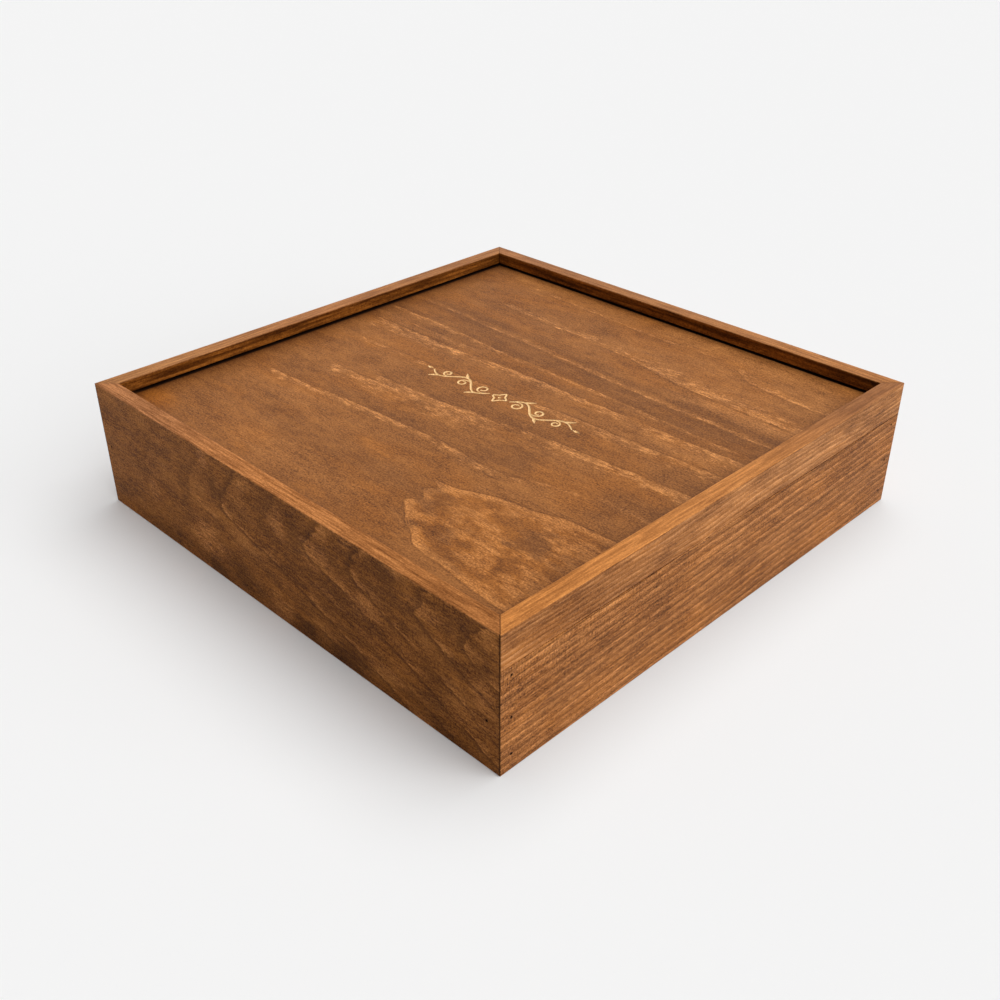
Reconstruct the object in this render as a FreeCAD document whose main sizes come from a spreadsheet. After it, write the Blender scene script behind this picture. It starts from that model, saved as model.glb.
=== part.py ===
import FreeCAD, Part
import math
import os

import Sketcher

# Square wooden box with a sliding lid, for papers and keepsakes.
#
# Four boards meet in mitred corners, glued and pinned with headless brads. A thin bottom panel sits
# in a groove near their base. The lid is a thin panel glued into a rail, and the rail is the top strip
# of the front: pulled by it, the lid slides out to the front in grooves of the other three boards.
#
# Frame: millimetres, +Z up, origin on the table under the middle of the box. -Y is the front.
# Each board is drawn in a frame of its own: X along the board, outer face at Y = 0, inner face
# towards +Y, Z up from its lower edge. The board's Placement turns it to its side of the box.

SIZES = [
    ("box_length", 335.0),          # outside, left to right
    ("box_width", 335.0),           # outside, front to back
    ("box_height", 80.0),           # outside, base to rim
    ("wall_thick", 10.0),           # every board and the rail
    ("rail_height", 20.0),          # top strip of the front, which slides out with the lid
    ("lid_thick", 4.0),             # lid panel
    ("lid_recess", 9.5),            # rim down to the lid's top face
    ("groove_depth", 5.0),          # lid and bottom grooves, into the boards
    ("lid_headroom", 1.7),          # groove left open above the lid
    ("slide_clear", 0.2),           # under the lid, under the rail and at the rail's two mitres
    ("lid_side_clear", 0.75),       # lid panel to the floor of its grooves
    ("bottom_thick", 4.0),          # bottom panel
    ("bottom_lift", 4.0),           # base of the boards up to the bottom panel
    ("bottom_side_clear", 0.5),     # bottom panel to the floor of its groove
    ("arris_round", 0.5),           # sanded long edges of the rim and of the base
    ("seam_round", 0.3),            # sanded edges on both sides of the seam under the rail
    ("corner_round", 0.5),          # sanded upright corners of the box
    ("brad_diameter", 1.0),
    ("brad_length", 20.0),
    ("brad_point", 1.5),            # length of the brad's point
    ("brad_set", 1.0),              # head of a brad below the face of the wood
    ("brad_clear", 0.1),            # round a brad and past its point
    ("brad_cover", 3.0),            # inner face to the brads driven through the front and the back
    ("front_side_cover", 1.7),      # inner face to the side brads at the front corners
    ("back_side_cover", 3.8),       # inner face to the side brads at the back corners
    ("low_brad_rise", 1.5),         # lowest brad above the bottom groove
    ("high_brad_drop", 5.0),        # highest brad below the seam under the rail
    ("middle_brad_share", 0.475),   # middle brad's place, from the lowest (0) to the highest (1)
    ("front_side_drop", 3.0),       # side brad at a front corner, below the middle brad
    ("back_side_rise", 9.0),        # side brad at a back corner, above the middle brad
]

CUT_MARGIN = 1.0                    # how far a cutting outline stands clear of the wood
EIGHTH_TURN = math.sqrt(0.5)        # cosine and sine of 45 degrees
EDGE_MATCH = 0.001                  # an edge this close to a line lies on it

doc = FreeCAD.newDocument("SlidingLidBox")
sheet = doc.addObject("Spreadsheet::Sheet", "Sizes")
for row, (alias, number) in enumerate(SIZES, start=1):
    sheet.set(f"A{row}", str(number))
    sheet.setAlias(f"A{row}", alias)
doc.recompute()


class Dim:
    """A length with the sheet expression that gives it, so one sum serves value and binding."""

    def __init__(self, text, value):
        self.text = text
        self.value = value

    def __add__(self, other):
        return Dim(f"({self.text} + {other.text})", self.value + other.value)

    def __sub__(self, other):
        return Dim(f"({self.text} - {other.text})", self.value - other.value)

    def __mul__(self, factor):
        return Dim(f"({self.text} * {factor})", self.value * factor)

    def __neg__(self):
        return self * -1


def size(alias):
    """A driving dimension of the sheet."""
    return Dim(f"Sizes.{alias}", float(sheet.get(alias)))


ZERO = Dim("0", 0.0)
MARGIN = Dim(str(CUT_MARGIN), CUT_MARGIN)

# ---------------------------------------------------------------- sizes that follow from the sheet
length, width, height = size("box_length"), size("box_width"), size("box_height")
thick = size("wall_thick")
groove_floor = thick - size("groove_depth")

rail_base = height - size("rail_height")
front_top = rail_base - size("slide_clear")
lid_top = height - size("lid_recess")
lid_base = lid_top - size("lid_thick")
lid_groove = (lid_base - size("slide_clear"), lid_top + size("lid_headroom"))
bottom_groove = (size("bottom_lift"), size("bottom_lift") + size("bottom_thick"))

brad_radius = size("brad_diameter") * 0.5
hole_radius = brad_radius + size("brad_clear")
hole_depth = size("brad_set") + size("brad_length") + size("brad_clear")
low_brad = bottom_groove[1] + size("low_brad_rise")
high_brad = rail_base - size("high_brad_drop")
middle_brad = Dim(
    f"({low_brad.text} + ({high_brad.text} - {low_brad.text}) * Sizes.middle_brad_share)",
    low_brad.value + (high_brad.value - low_brad.value) * size("middle_brad_share").value,
)
brad_rows = [low_brad, middle_brad, high_brad]
brad_inset = thick - size("brad_cover")
# inset from the corner and height of the one brad driven through a side board at each end of it
side_brads = {
    "front": (thick - size("front_side_cover"), middle_brad - size("front_side_drop")),
    "back": (thick - size("back_side_cover"), middle_brad + size("back_side_rise")),
}


# ---------------------------------------------------------------- sketching
def new_body(label):
    """An empty body with the sub-part's name."""
    body = doc.addObject("PartDesign::Body", label)
    body.Label = label
    return body


def new_sketch(body, role, name, offset=ZERO):
    """A sketch on one of the body's own origin planes, moved along the plane's normal."""
    sketch = body.newObject("Sketcher::SketchObject", name)
    plane = next(item for item in body.Origin.OriginFeatures if item.Role == role)
    sketch.AttachmentSupport = [(plane, "")]
    sketch.MapMode = "FlatFace"
    sketch.setExpression("AttachmentOffset.Base.z", offset.text)
    return sketch


def pin(sketch, item, vertex, across, up):
    """Tie a vertex of the sketch to its distances from the origin."""
    for kind, dim in (("DistanceX", across), ("DistanceY", up)):
        index = sketch.addConstraint(Sketcher.Constraint(kind, -1, 1, item, vertex, dim.value))
        sketch.setExpression(f"Constraints[{index}]", dim.text)


def draw_lines(sketch, corners):
    """Straight lines from corner to corner, each start tied to its place. Returns the lines."""
    lines = []
    for (start_across, start_up), (end_across, end_up) in zip(corners, corners[1:]):
        start = FreeCAD.Vector(start_across.value, start_up.value)
        end = FreeCAD.Vector(end_across.value, end_up.value)
        line = sketch.addGeometry(Part.LineSegment(start, end), False)
        if lines:
            sketch.addConstraint(Sketcher.Constraint("Coincident", lines[-1], 2, line, 1))
        pin(sketch, line, 1, start_across, start_up)
        lines.append(line)
    return lines


def draw_outline(sketch, corners):
    """A closed straight-sided outline."""
    lines = draw_lines(sketch, corners + corners[:1])
    sketch.addConstraint(Sketcher.Constraint("Coincident", lines[-1], 2, lines[0], 1))


def draw_circle(sketch, across, up, radius):
    """A circle tied to its centre and radius."""
    centre = FreeCAD.Vector(across.value, up.value)
    item = sketch.addGeometry(Part.Circle(centre, FreeCAD.Vector(0, 0, 1), radius.value), False)
    pin(sketch, item, 3, across, up)
    index = sketch.addConstraint(Sketcher.Constraint("Radius", item, radius.value))
    sketch.setExpression(f"Constraints[{index}]", radius.text)


def draw_mitre_waste(sketch, tip, end):
    """What is sawn off one end of a board, seen from above.

    The board's outer face ends at the tip, with end +1 or -1 along the board. The saw line runs
    inwards at 45 degrees, and an eighth of a circle rounds the upright corner of the box.
    """
    rounding = size("corner_round")
    nip = rounding * (1 - EIGHTH_TURN)
    corners = [
        (nip, nip),
        (thick + MARGIN, thick + MARGIN),
        (-MARGIN, thick + MARGIN),
        (-MARGIN, -MARGIN),
        (rounding, -MARGIN),
        (rounding, ZERO),
    ]
    lines = draw_lines(sketch, [((tip - inset) * end, up) for inset, up in corners])
    pin(sketch, lines[-1], 2, (tip - rounding) * end, ZERO)

    centre = FreeCAD.Vector(((tip - rounding) * end).value, rounding.value)
    circle = Part.Circle(centre, FreeCAD.Vector(0, 0, 1), rounding.value)
    down = -math.pi / 2
    outward = down + end * math.pi / 4
    arc = sketch.addGeometry(Part.ArcOfCircle(circle, min(down, outward), max(down, outward)), False)
    face_end, saw_end = (1, 2) if end > 0 else (2, 1)
    sketch.addConstraint(Sketcher.Constraint("Coincident", lines[-1], 2, arc, face_end))
    sketch.addConstraint(Sketcher.Constraint("Coincident", lines[0], 1, arc, saw_end))
    index = sketch.addConstraint(Sketcher.Constraint("Radius", arc, rounding.value))
    sketch.setExpression(f"Constraints[{index}]", rounding.text)


# ---------------------------------------------------------------- features
def pad(body, sketch, name, depth, both_ways=False):
    """Extrude the sketch, upwards or evenly to both sides of its plane."""
    feature = body.newObject("PartDesign::Pad", name)
    feature.Profile = sketch
    feature.setExpression("Length", depth.text)
    if both_ways:
        feature.SideType = "Symmetric"
    doc.recompute()
    return feature


def pocket(body, sketch, name, depth=None, upwards=False):
    """Cut the sketch out of the body, against or along its normal, and test that wood went."""
    before = body.Shape.Volume
    feature = body.newObject("PartDesign::Pocket", name)
    feature.Profile = sketch
    feature.Reversed = upwards
    if depth is None:
        feature.Type = "ThroughAll"
    else:
        feature.setExpression("Length", depth.text)
    doc.recompute()
    if not body.Shape.Volume < before:
        raise ValueError(f"{name} cuts nothing")


def round_long_edges(body, base, name, radius, lines):
    """Sand the edges that run along X on the given (Y, Z) lines."""
    names = []
    for number, edge in enumerate(base.Shape.Edges, start=1):
        for across, up in lines:
            places = [(vertex.Y - across.value, vertex.Z - up.value) for vertex in edge.Vertexes]
            if all(math.hypot(*place) < EDGE_MATCH for place in places):
                names.append(f"Edge{number}")
    if len(names) != len(lines):
        raise ValueError(f"{name} finds {len(names)} of {len(lines)} edges")
    feature = body.newObject("PartDesign::Fillet", name)
    feature.Base = (base, names)
    feature.setExpression("Radius", radius.text)
    doc.recompute()
    return feature


def groove_board(body, groove, name):
    """Plough a groove along the whole inner face."""
    low, high = groove
    sketch = new_sketch(body, "YZ_Plane", f"{name}_section", length + width)
    outline = [
        (groove_floor, low),
        (thick + MARGIN, low),
        (thick + MARGIN, high),
        (groove_floor, high),
    ]
    draw_outline(sketch, outline)
    pocket(body, sketch, name)


def mitre_board(body, run, name):
    """Saw both ends of a board to 45 degrees."""
    sketch = new_sketch(body, "XY_Plane", f"{name}_plan", -MARGIN)
    for end in (-1, 1):
        draw_mitre_waste(sketch, run * 0.5, end)
    pocket(body, sketch, name, upwards=True)


def drill_face(body, places, name):
    """Brad holes through the outer face, at (X, Z) places."""
    sketch = new_sketch(body, "XZ_Plane", f"{name}_centres")
    for along, up in places:
        draw_circle(sketch, along, up, hole_radius)
    pocket(body, sketch, name, hole_depth)


def drill_ends(body, run, places, name):
    """The same brads' holes where they go on into the ends of this board, at (Y, Z) places."""
    for end, word in ((1, "far"), (-1, "near")):
        sketch = new_sketch(body, "YZ_Plane", f"{name}_{word}_centres", run * 0.5 * end)
        for across, up in places:
            draw_circle(sketch, across, up, hole_radius)
        pocket(body, sketch, f"{name}_{word}", hole_depth, upwards=end < 0)


def place(body, base, turn=0):
    """Put a body at a point of the box's frame, turned about the upright axis by whole degrees."""
    body.Placement = FreeCAD.Placement(
        FreeCAD.Vector(*[dim.value for dim in base]),
        FreeCAD.Rotation(FreeCAD.Vector(0, 0, 1), turn),
    )
    for axis, dim in zip("xyz", base):
        body.setExpression(f"Placement.Base.{axis}", dim.text)


# ---------------------------------------------------------------- the boards
def board(label, run, tall, tip_gap, grooves, rim_edges, seam_edges):
    """A planed, grooved and mitred board, its ends tip_gap short of the box's corners."""
    body = new_body(label)
    sketch = new_sketch(body, "YZ_Plane", f"{label}_section")
    draw_outline(sketch, [(ZERO, ZERO), (thick, ZERO), (thick, tall), (ZERO, tall)])
    wood = pad(body, sketch, f"{label}_plank", run, both_ways=True)
    wood = round_long_edges(body, wood, f"{label}_rounding", size("arris_round"), rim_edges)
    if seam_edges:
        round_long_edges(body, wood, f"{label}_seam_rounding", size("seam_round"), seam_edges)
    for name, groove in grooves.items():
        groove_board(body, groove, f"{label}_{name}_groove")
    mitre_board(body, run - tip_gap * 2, f"{label}_mitres")
    return body


def front_wall():
    """Lower part of the front. The lid's rail closes the rest of it."""
    body = board(
        "front_wall", length, front_top, ZERO, {"bottom": bottom_groove},
        rim_edges=[(ZERO, ZERO)], seam_edges=[(ZERO, front_top)],
    )
    along = length * 0.5 - brad_inset
    drill_face(body, [(along * end, up) for end in (-1, 1) for up in brad_rows], "front_brad_holes")
    drill_ends(body, length, [side_brads["front"]], "front_end_holes")
    place(body, (ZERO, -width * 0.5, ZERO))
    return body


def back_wall():
    """Full-height board across the back."""
    body = board(
        "back_wall", length, height, ZERO, {"bottom": bottom_groove, "lid": lid_groove},
        rim_edges=[(ZERO, ZERO), (ZERO, height), (thick, height)], seam_edges=[],
    )
    along = length * 0.5 - brad_inset
    drill_face(body, [(along * end, up) for end in (-1, 1) for up in brad_rows], "back_brad_holes")
    drill_ends(body, length, [side_brads["back"]], "back_end_holes")
    place(body, (ZERO, width * 0.5, ZERO), turn=180)
    return body


def side_wall(label, side):
    """Full-height board on the left (side -1) or the right (side +1)."""
    body = board(
        label, width, height, ZERO, {"bottom": bottom_groove, "lid": lid_groove},
        rim_edges=[(ZERO, ZERO), (ZERO, height), (thick, height)], seam_edges=[],
    )
    # the front end of the left board is at its own +X, and that of the right board at its -X
    ends = {"front": -side, "back": side}
    places = []
    for word, end in ends.items():
        inset, up = side_brads[word]
        places.append(((width * 0.5 - inset) * end, up))
    drill_face(body, places, f"{label}_brad_holes")
    drill_ends(body, width, [(brad_inset, up) for up in brad_rows], f"{label}_end_holes")
    place(body, (length * 0.5 * side, ZERO, ZERO), turn=side * 90)
    return body


def lid_rail():
    """Top strip of the front, glued to the lid panel, which makes the lid's front edge and pull."""
    rail_height = size("rail_height")
    body = board(
        "lid_rail", length, rail_height, size("slide_clear"),
        {"lid": (lid_base - rail_base, lid_top - rail_base)},
        rim_edges=[(ZERO, rail_height), (thick, rail_height)], seam_edges=[(ZERO, ZERO)],
    )
    place(body, (ZERO, -width * 0.5, rail_base))
    return body


# ---------------------------------------------------------------- the panels
def panel(label, half_span, front_edge, back_edge, thickness, base):
    """A flat rectangular panel, the same to the left and right of the middle."""
    body = new_body(label)
    sketch = new_sketch(body, "XY_Plane", f"{label}_plan")
    draw_outline(sketch, [
        (-half_span, front_edge),
        (half_span, front_edge),
        (half_span, back_edge),
        (-half_span, back_edge),
    ])
    pad(body, sketch, f"{label}_sheet", thickness)
    place(body, (ZERO, ZERO, base))
    return body


def lid_panel():
    """Lid panel: seated in the rail's groove, and clear of the floors of the other three."""
    clear = groove_floor + size("lid_side_clear")
    front_edge = groove_floor - width * 0.5
    return panel(
        "lid_panel", length * 0.5 - clear, front_edge, width * 0.5 - clear,
        size("lid_thick"), lid_base,
    )


def bottom_panel():
    """Bottom panel, held in the groove of all four boards."""
    clear = groove_floor + size("bottom_side_clear")
    return panel(
        "bottom_panel", length * 0.5 - clear, clear - width * 0.5, width * 0.5 - clear,
        size("bottom_thick"), bottom_groove[0],
    )


# ---------------------------------------------------------------- the brads
def brad(label, head, direction):
    """A headless brad that starts at head and is driven along direction."""
    body = new_body(label)
    sketch = new_sketch(body, "XZ_Plane", f"{label}_half_section")
    shank = size("brad_length") - size("brad_point")
    draw_outline(sketch, [(ZERO, ZERO), (brad_radius, ZERO), (brad_radius, shank),
                          (ZERO, size("brad_length"))])
    feature = body.newObject("PartDesign::Revolution", f"{label}_wire")
    feature.Profile = sketch
    feature.ReferenceAxis = (sketch, ["V_Axis"])
    feature.Angle = 360
    turn = FreeCAD.Rotation(FreeCAD.Vector(0, 0, 1), FreeCAD.Vector(*direction))
    body.Placement = FreeCAD.Placement(FreeCAD.Vector(*[dim.value for dim in head]), turn)
    for axis, dim in zip("xyz", head):
        body.setExpression(f"Placement.Base.{axis}", dim.text)
    return body


def corner_brads(side_word, side, end_word, end):
    """The brads of one upright corner: three along Y, and one along X through the side board."""
    corner = f"{end_word}_{side_word}"
    depth = size("brad_set")
    brads = []
    for up, row_word in zip(brad_rows, ("low", "middle", "high")):
        head = ((length * 0.5 - brad_inset) * side, (width * 0.5 - depth) * end, up)
        brads.append(brad(f"{corner}_brad_{row_word}", head, (0, -end, 0)))
    inset, up = side_brads[end_word]
    head = ((length * 0.5 - depth) * side, (width * 0.5 - inset) * end, up)
    brads.append(brad(f"{corner}_brad_side", head, (-side, 0, 0)))
    return brads


# ---------------------------------------------------------------- the box
parts = [
    front_wall(),
    back_wall(),
    side_wall("left_wall", -1),
    side_wall("right_wall", 1),
    bottom_panel(),
    lid_panel(),
    lid_rail(),
]
for end_word, end in (("front", -1), ("back", 1)):
    for side_word, side in (("left", -1), ("right", 1)):
        parts += corner_brads(side_word, side, end_word, end)
doc.recompute()

failed = [item.Label for item in doc.Objects if {"Invalid", "Error"} & set(item.State)]
if failed:
    raise ValueError(f"features that failed: {failed}")
for part in parts:
    if part.Shape.isNull() or not part.Shape.isValid() or len(part.Shape.Solids) != 1:
        raise ValueError(f"{part.Label} is not one valid solid")

os.makedirs("parts", exist_ok=True)
for part in parts:
    part.Shape.exportStep(f"parts/{part.Label}.step")
    box = part.Shape.BoundBox
    print(
        f"{part.Label}: {part.Shape.Volume:.1f} mm3, "
        f"x {box.XMin:.2f}..{box.XMax:.2f}, y {box.YMin:.2f}..{box.YMax:.2f}, "
        f"z {box.ZMin:.2f}..{box.ZMax:.2f}"
    )
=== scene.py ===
"""Studio scene of a square stained-wood box with a sliding lid.

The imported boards, rail, bottom and brads stay as they are and get procedural finishes. The lid panel is
remade with a carved scroll ornament. Everything is in metres, in the frame of the box: +Z up and -Y
towards the front, the way that the lid slides out. Wood figure is drawn in millimetres.
"""
from __future__ import annotations

import logging
import math
from collections.abc import Iterable
from dataclasses import dataclass, field, replace
from enum import Enum
from functools import cached_property, reduce
from typing import TypeAlias

import bmesh
import bpy
from mathutils import Matrix, Vector


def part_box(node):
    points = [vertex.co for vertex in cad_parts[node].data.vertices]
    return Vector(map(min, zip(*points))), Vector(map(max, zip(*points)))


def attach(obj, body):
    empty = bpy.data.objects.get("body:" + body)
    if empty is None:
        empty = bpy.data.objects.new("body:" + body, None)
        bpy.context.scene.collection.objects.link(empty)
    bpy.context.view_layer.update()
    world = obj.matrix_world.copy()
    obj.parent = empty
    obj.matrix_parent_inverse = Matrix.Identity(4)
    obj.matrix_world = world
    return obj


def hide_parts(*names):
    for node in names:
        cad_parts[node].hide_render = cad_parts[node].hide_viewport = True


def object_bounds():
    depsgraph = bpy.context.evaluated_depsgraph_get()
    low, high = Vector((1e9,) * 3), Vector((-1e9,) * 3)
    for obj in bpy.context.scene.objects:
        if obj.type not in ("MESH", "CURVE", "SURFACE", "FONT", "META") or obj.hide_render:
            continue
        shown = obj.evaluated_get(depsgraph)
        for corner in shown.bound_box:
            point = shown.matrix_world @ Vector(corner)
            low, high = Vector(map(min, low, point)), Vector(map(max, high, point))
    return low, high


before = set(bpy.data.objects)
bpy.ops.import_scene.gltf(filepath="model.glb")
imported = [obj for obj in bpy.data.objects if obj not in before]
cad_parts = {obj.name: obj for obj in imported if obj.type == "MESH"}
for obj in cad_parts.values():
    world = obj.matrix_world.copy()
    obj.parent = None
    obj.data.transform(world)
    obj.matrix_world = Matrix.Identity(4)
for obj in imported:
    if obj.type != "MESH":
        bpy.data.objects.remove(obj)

log = logging.getLogger("sliding_lid_box")

CAD_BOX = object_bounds()
MM = 0.001
RUN = (CAD_BOX[1].x - CAD_BOX[0].x) / MM        # outside length of every board, in millimetres
HEIGHT = (CAD_BOX[1].z - CAD_BOX[0].z) / MM
THICKNESS = 10.0                                # of a board
GROOVE_FLOOR = 6.0                              # how far from the inner face the painted shade in a groove reaches
GROOVE_SPAN = (66.0, 73.0)                      # heights between which the lid's groove gets painted shade
WOOD_GLOSS = 0.08                               # specular level of stained and thinly waxed wood

Colour: TypeAlias = tuple[float, float, float]  # red, green and blue in display levels of 0 to 255
Cell: TypeAlias = tuple[float, float, float]    # size of a noise cell along each axis
Point: TypeAlias = tuple[float, float]
Stroke: TypeAlias = list[tuple[float, float, float]]
Value: TypeAlias = "Signal | float"
Inputs: TypeAlias = dict[int | str, object]

DULL_BOUNCE: Colour = (75, 56, 44)              # calmed light off the wood


def to_linear(colour: Colour) -> tuple[float, ...]:
    """Turn a colour of display levels into a linear one.

    Args:
        colour: Red, green and blue as they show on a display.

    Returns:
        Linear red, green and blue, with an alpha of 1.
    """
    shares = [channel / 255 for channel in colour]
    linear = [share / 12.92 if share <= 0.04045 else ((share + 0.055) / 1.055) ** 2.4
              for share in shares]
    return *linear, 1.0


def spaced(inputs: dict[str, object]) -> dict[str, object]:
    """The same inputs with spaces for the underscores of their names."""
    return {name.replace("_", " "): value for name, value in inputs.items()}


def add_object(name: str, data: bpy.types.ID) -> bpy.types.Object:
    """Add an object to the scene, at the origin.

    Args:
        name: The object's name.
        data: Its mesh, curve, lamp or camera.

    Returns:
        The object.
    """
    thing = bpy.data.objects.new(name, data)
    bpy.context.scene.collection.objects.link(thing)
    return thing


# ---------------------------------------------------------------- building node trees
class Signal:
    """An output of a node. Arithmetic with it adds nodes to its tree."""

    def __init__(self, graph: NodeGraph, socket: bpy.types.NodeSocket) -> None:
        """Wrap an output of a node in a graph."""
        self.graph, self.socket = graph, socket

    def __add__(self, other: Value) -> Signal:
        """The sum of both."""
        return self.graph.math("ADD", self, other)

    def __sub__(self, other: Value) -> Signal:
        """This less the other."""
        return self.graph.math("SUBTRACT", self, other)

    def __rsub__(self, other: Value) -> Signal:
        """The other less this."""
        return self.graph.math("SUBTRACT", other, self)

    def __mul__(self, other: Value) -> Signal:
        """The product of both."""
        return self.graph.math("MULTIPLY", self, other)

    def __truediv__(self, other: Value) -> Signal:
        """This divided by the other."""
        return self.graph.math("DIVIDE", self, other)

    def __neg__(self) -> Signal:
        """The same with its sign turned."""
        return self * -1.0

    def __abs__(self) -> Signal:
        """The same without its sign."""
        return self.graph.math("ABSOLUTE", self)

    __radd__ = __add__
    __rmul__ = __mul__

    def step(self, low: Value, high: Value, start: float = 0.0, end: float = 1.0) -> Signal:
        """A smooth step from start to end as the value goes from low to high."""
        inputs = {0: self, 1: low, 2: high, 3: start, 4: end}
        return self.graph.result("ShaderNodeMapRange", inputs, interpolation_type="SMOOTHSTEP")

    def fade(self, low: Value, high: Value) -> Signal:
        """A smooth step down from 1 to 0 as the value goes from low to high."""
        return self.step(low, high, 1.0, 0.0)


class NodeGraph:
    """Builds one node tree, with noises, curves and mixes written as calls."""

    def __init__(self, tree: bpy.types.NodeTree) -> None:
        """Start on a tree that is already there."""
        self.tree = tree

    def node(self, kind: str, inputs: Inputs, **settings: object) -> bpy.types.Node:
        """Add a node.

        Args:
            kind: Blender's name of the node type.
            inputs: Signal or plain value of each input, by name or by number.
            settings: The node's own settings.

        Returns:
            The new node.
        """
        node = self.tree.nodes.new(kind)
        for name, setting in settings.items():
            setattr(node, name, setting)
        for key, source in inputs.items():
            self.feed(node.inputs[key], source)
        return node

    def feed(self, socket: bpy.types.NodeSocket, source: object) -> None:
        """Link a signal to an input, or set the input to a plain value.

        Args:
            socket: The input.
            source: The signal or the value.
        """
        if isinstance(source, Signal):
            self.tree.links.new(source.socket, socket)
        else:
            socket.default_value = source

    def result(self, kind: str, inputs: Inputs, output: int | str = 0, **settings: object) -> Signal:
        """Add a node as node() does, and take one of its outputs, by name or by number."""
        return Signal(self, self.node(kind, inputs, **settings).outputs[output])

    def find(self, kind: str) -> bpy.types.Node:
        """The node of a kind that the tree came with."""
        return next(node for node in self.tree.nodes if node.type == kind)

    def math(self, operation: str, *values: Value) -> Signal:
        """A Math node's result."""
        return self.result("ShaderNodeMath", dict(enumerate(values)), operation=operation)

    def highest(self, *values: Value) -> Value:
        """The highest of one or more values."""
        return reduce(lambda first, second: self.math("MAXIMUM", first, second), values)

    def lowest(self, *values: Value) -> Value:
        """The lowest of one or more values."""
        return reduce(lambda first, second: self.math("MINIMUM", first, second), values)

    def distance(self, across: Signal, down: Signal) -> Signal:
        """The length of the slope over two legs."""
        return self.math("SQRT", across * across + down * down)

    def axes(self, vector: Signal) -> tuple[Signal, Signal, Signal]:
        """The three parts of a vector."""
        outputs = self.node("ShaderNodeSeparateXYZ", {0: vector}).outputs
        return tuple(Signal(self, outputs[number]) for number in range(3))

    def noise(self, place: Signal, cell: Cell, seed: Value, detail: float = 2.0,
              roughness: float = 0.5) -> Signal:
        """Noise in millimetres.

        Args:
            place: Place in millimetres.
            cell: Size of a cell along each axis.
            seed: Picks another pattern.
            detail: Number of finer layers.
            roughness: Strength of the finer layers.

        Returns:
            A value that is mostly between 0.25 and 0.75.
        """
        cells = self.result("ShaderNodeVectorMath", {0: place, 1: tuple(1 / side for side in cell)},
                            operation="MULTIPLY")
        inputs = {"Vector": cells, "W": seed, "Scale": 1.0, "Detail": detail, "Roughness": roughness}
        return self.result("ShaderNodeTexNoise", inputs, noise_dimensions="4D")

    def sway(self, place: Signal, cell: Cell, seed: Value, reach: Value, detail: float = 2.0) -> Signal:
        """Noise as a shift to both sides of zero, at most about reach."""
        return (self.noise(place, cell, seed, detail, roughness=0.62) - 0.5) * reach * 3.0

    def curve(self, place: Value, points: Iterable[Point]) -> Signal:
        """A value that follows a smooth line through points.

        Args:
            place: Where along the line.
            points: Place and value of each point, both between 0 and RUN.

        Returns:
            The line's value at the place.
        """
        node = self.node("ShaderNodeFloatCurve", {"Value": place / RUN})
        line = node.mapping.curves[0]
        for number, (x, y) in enumerate(points):
            if number < 2:
                line.points[number].location = (x / RUN, y / RUN)
            else:
                line.points.new(x / RUN, y / RUN)
        node.mapping.extend = "HORIZONTAL"
        node.mapping.update()
        return Signal(self, node.outputs[0]) * RUN

    def ramp(self, factor: Signal, stops: Iterable[Point]) -> Signal:
        """A value that follows straight lines between stops.

        Args:
            factor: Where along the ramp, from 0 to 1.
            stops: Place and value of each stop, in order.

        Returns:
            The value at the factor.
        """
        node = self.node("ShaderNodeValToRGB", {0: factor})
        elements = node.color_ramp.elements
        for number, (place, value) in enumerate(stops):
            element = elements[number] if number < 2 else elements.new(place)
            element.position = place
            element.color = (value, value, value, 1.0)
        return Signal(self, node.outputs[0])

    def mix(self, factor: Value, under: Signal | Colour, over: Signal | Colour) -> Signal:
        """A colour that goes from under to over with the factor."""
        paints = [to_linear(paint) if isinstance(paint, tuple) else paint for paint in (under, over)]
        return self.result("ShaderNodeMix", {0: factor, 6: paints[0], 7: paints[1]}, 2, data_type="RGBA")

    def brighten(self, colour: Signal, factor: Signal) -> Signal:
        """Multiply a colour by a factor.

        Args:
            colour: The colour.
            factor: The factor, about 1.

        Returns:
            The colour, warmer where it is darkened.
        """
        shares = {0: factor, 1: self.math("POWER", factor, 1.15), 2: self.math("POWER", factor, 1.3)}
        tint = self.result("ShaderNodeCombineXYZ", shares)
        return self.result("ShaderNodeVectorMath", {0: colour, 1: tint}, operation="MULTIPLY")

    def effect(self, group: bpy.types.NodeTree, **inputs: object) -> dict[str, Signal]:
        """Place a shared effect.

        Args:
            group: The effect.
            inputs: Its inputs by name, with underscores for spaces.

        Returns:
            Its outputs by name.
        """
        node = self.node("ShaderNodeGroup", spaced(inputs), node_tree=group)
        return {socket.name: Signal(self, socket) for socket in node.outputs}


class GroupGraph(NodeGraph):
    """A node group with named inputs and outputs."""

    def __init__(self, name: str, inputs: dict[str, float | str], kind: str = "ShaderNodeTree") -> None:
        """Start a group.

        Args:
            name: The group's name.
            inputs: By name, the default of each float input and the socket type of any other.
            kind: Blender's name of the tree type.
        """
        super().__init__(bpy.data.node_groups.new(name, kind))
        self.identifiers: dict[str, str] = {}
        for label, default in inputs.items():
            is_float = isinstance(default, float)
            socket = self.tree.interface.new_socket(
                label, in_out="INPUT", socket_type="NodeSocketFloat" if is_float else default)
            if is_float:
                socket.default_value = default
            self.identifiers[label] = socket.identifier
        outputs = self.tree.nodes.new("NodeGroupInput").outputs
        self.given = [Signal(self, outputs[label]) for label in inputs]
        self._results = self.tree.nodes.new("NodeGroupOutput")

    def give(self, label: str, source: Signal, socket_type: str = "NodeSocketFloat") -> None:
        """Put a value out of the group under a name."""
        self.tree.interface.new_socket(label, in_out="OUTPUT", socket_type=socket_type)
        self.feed(self._results.inputs[label], source)


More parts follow.
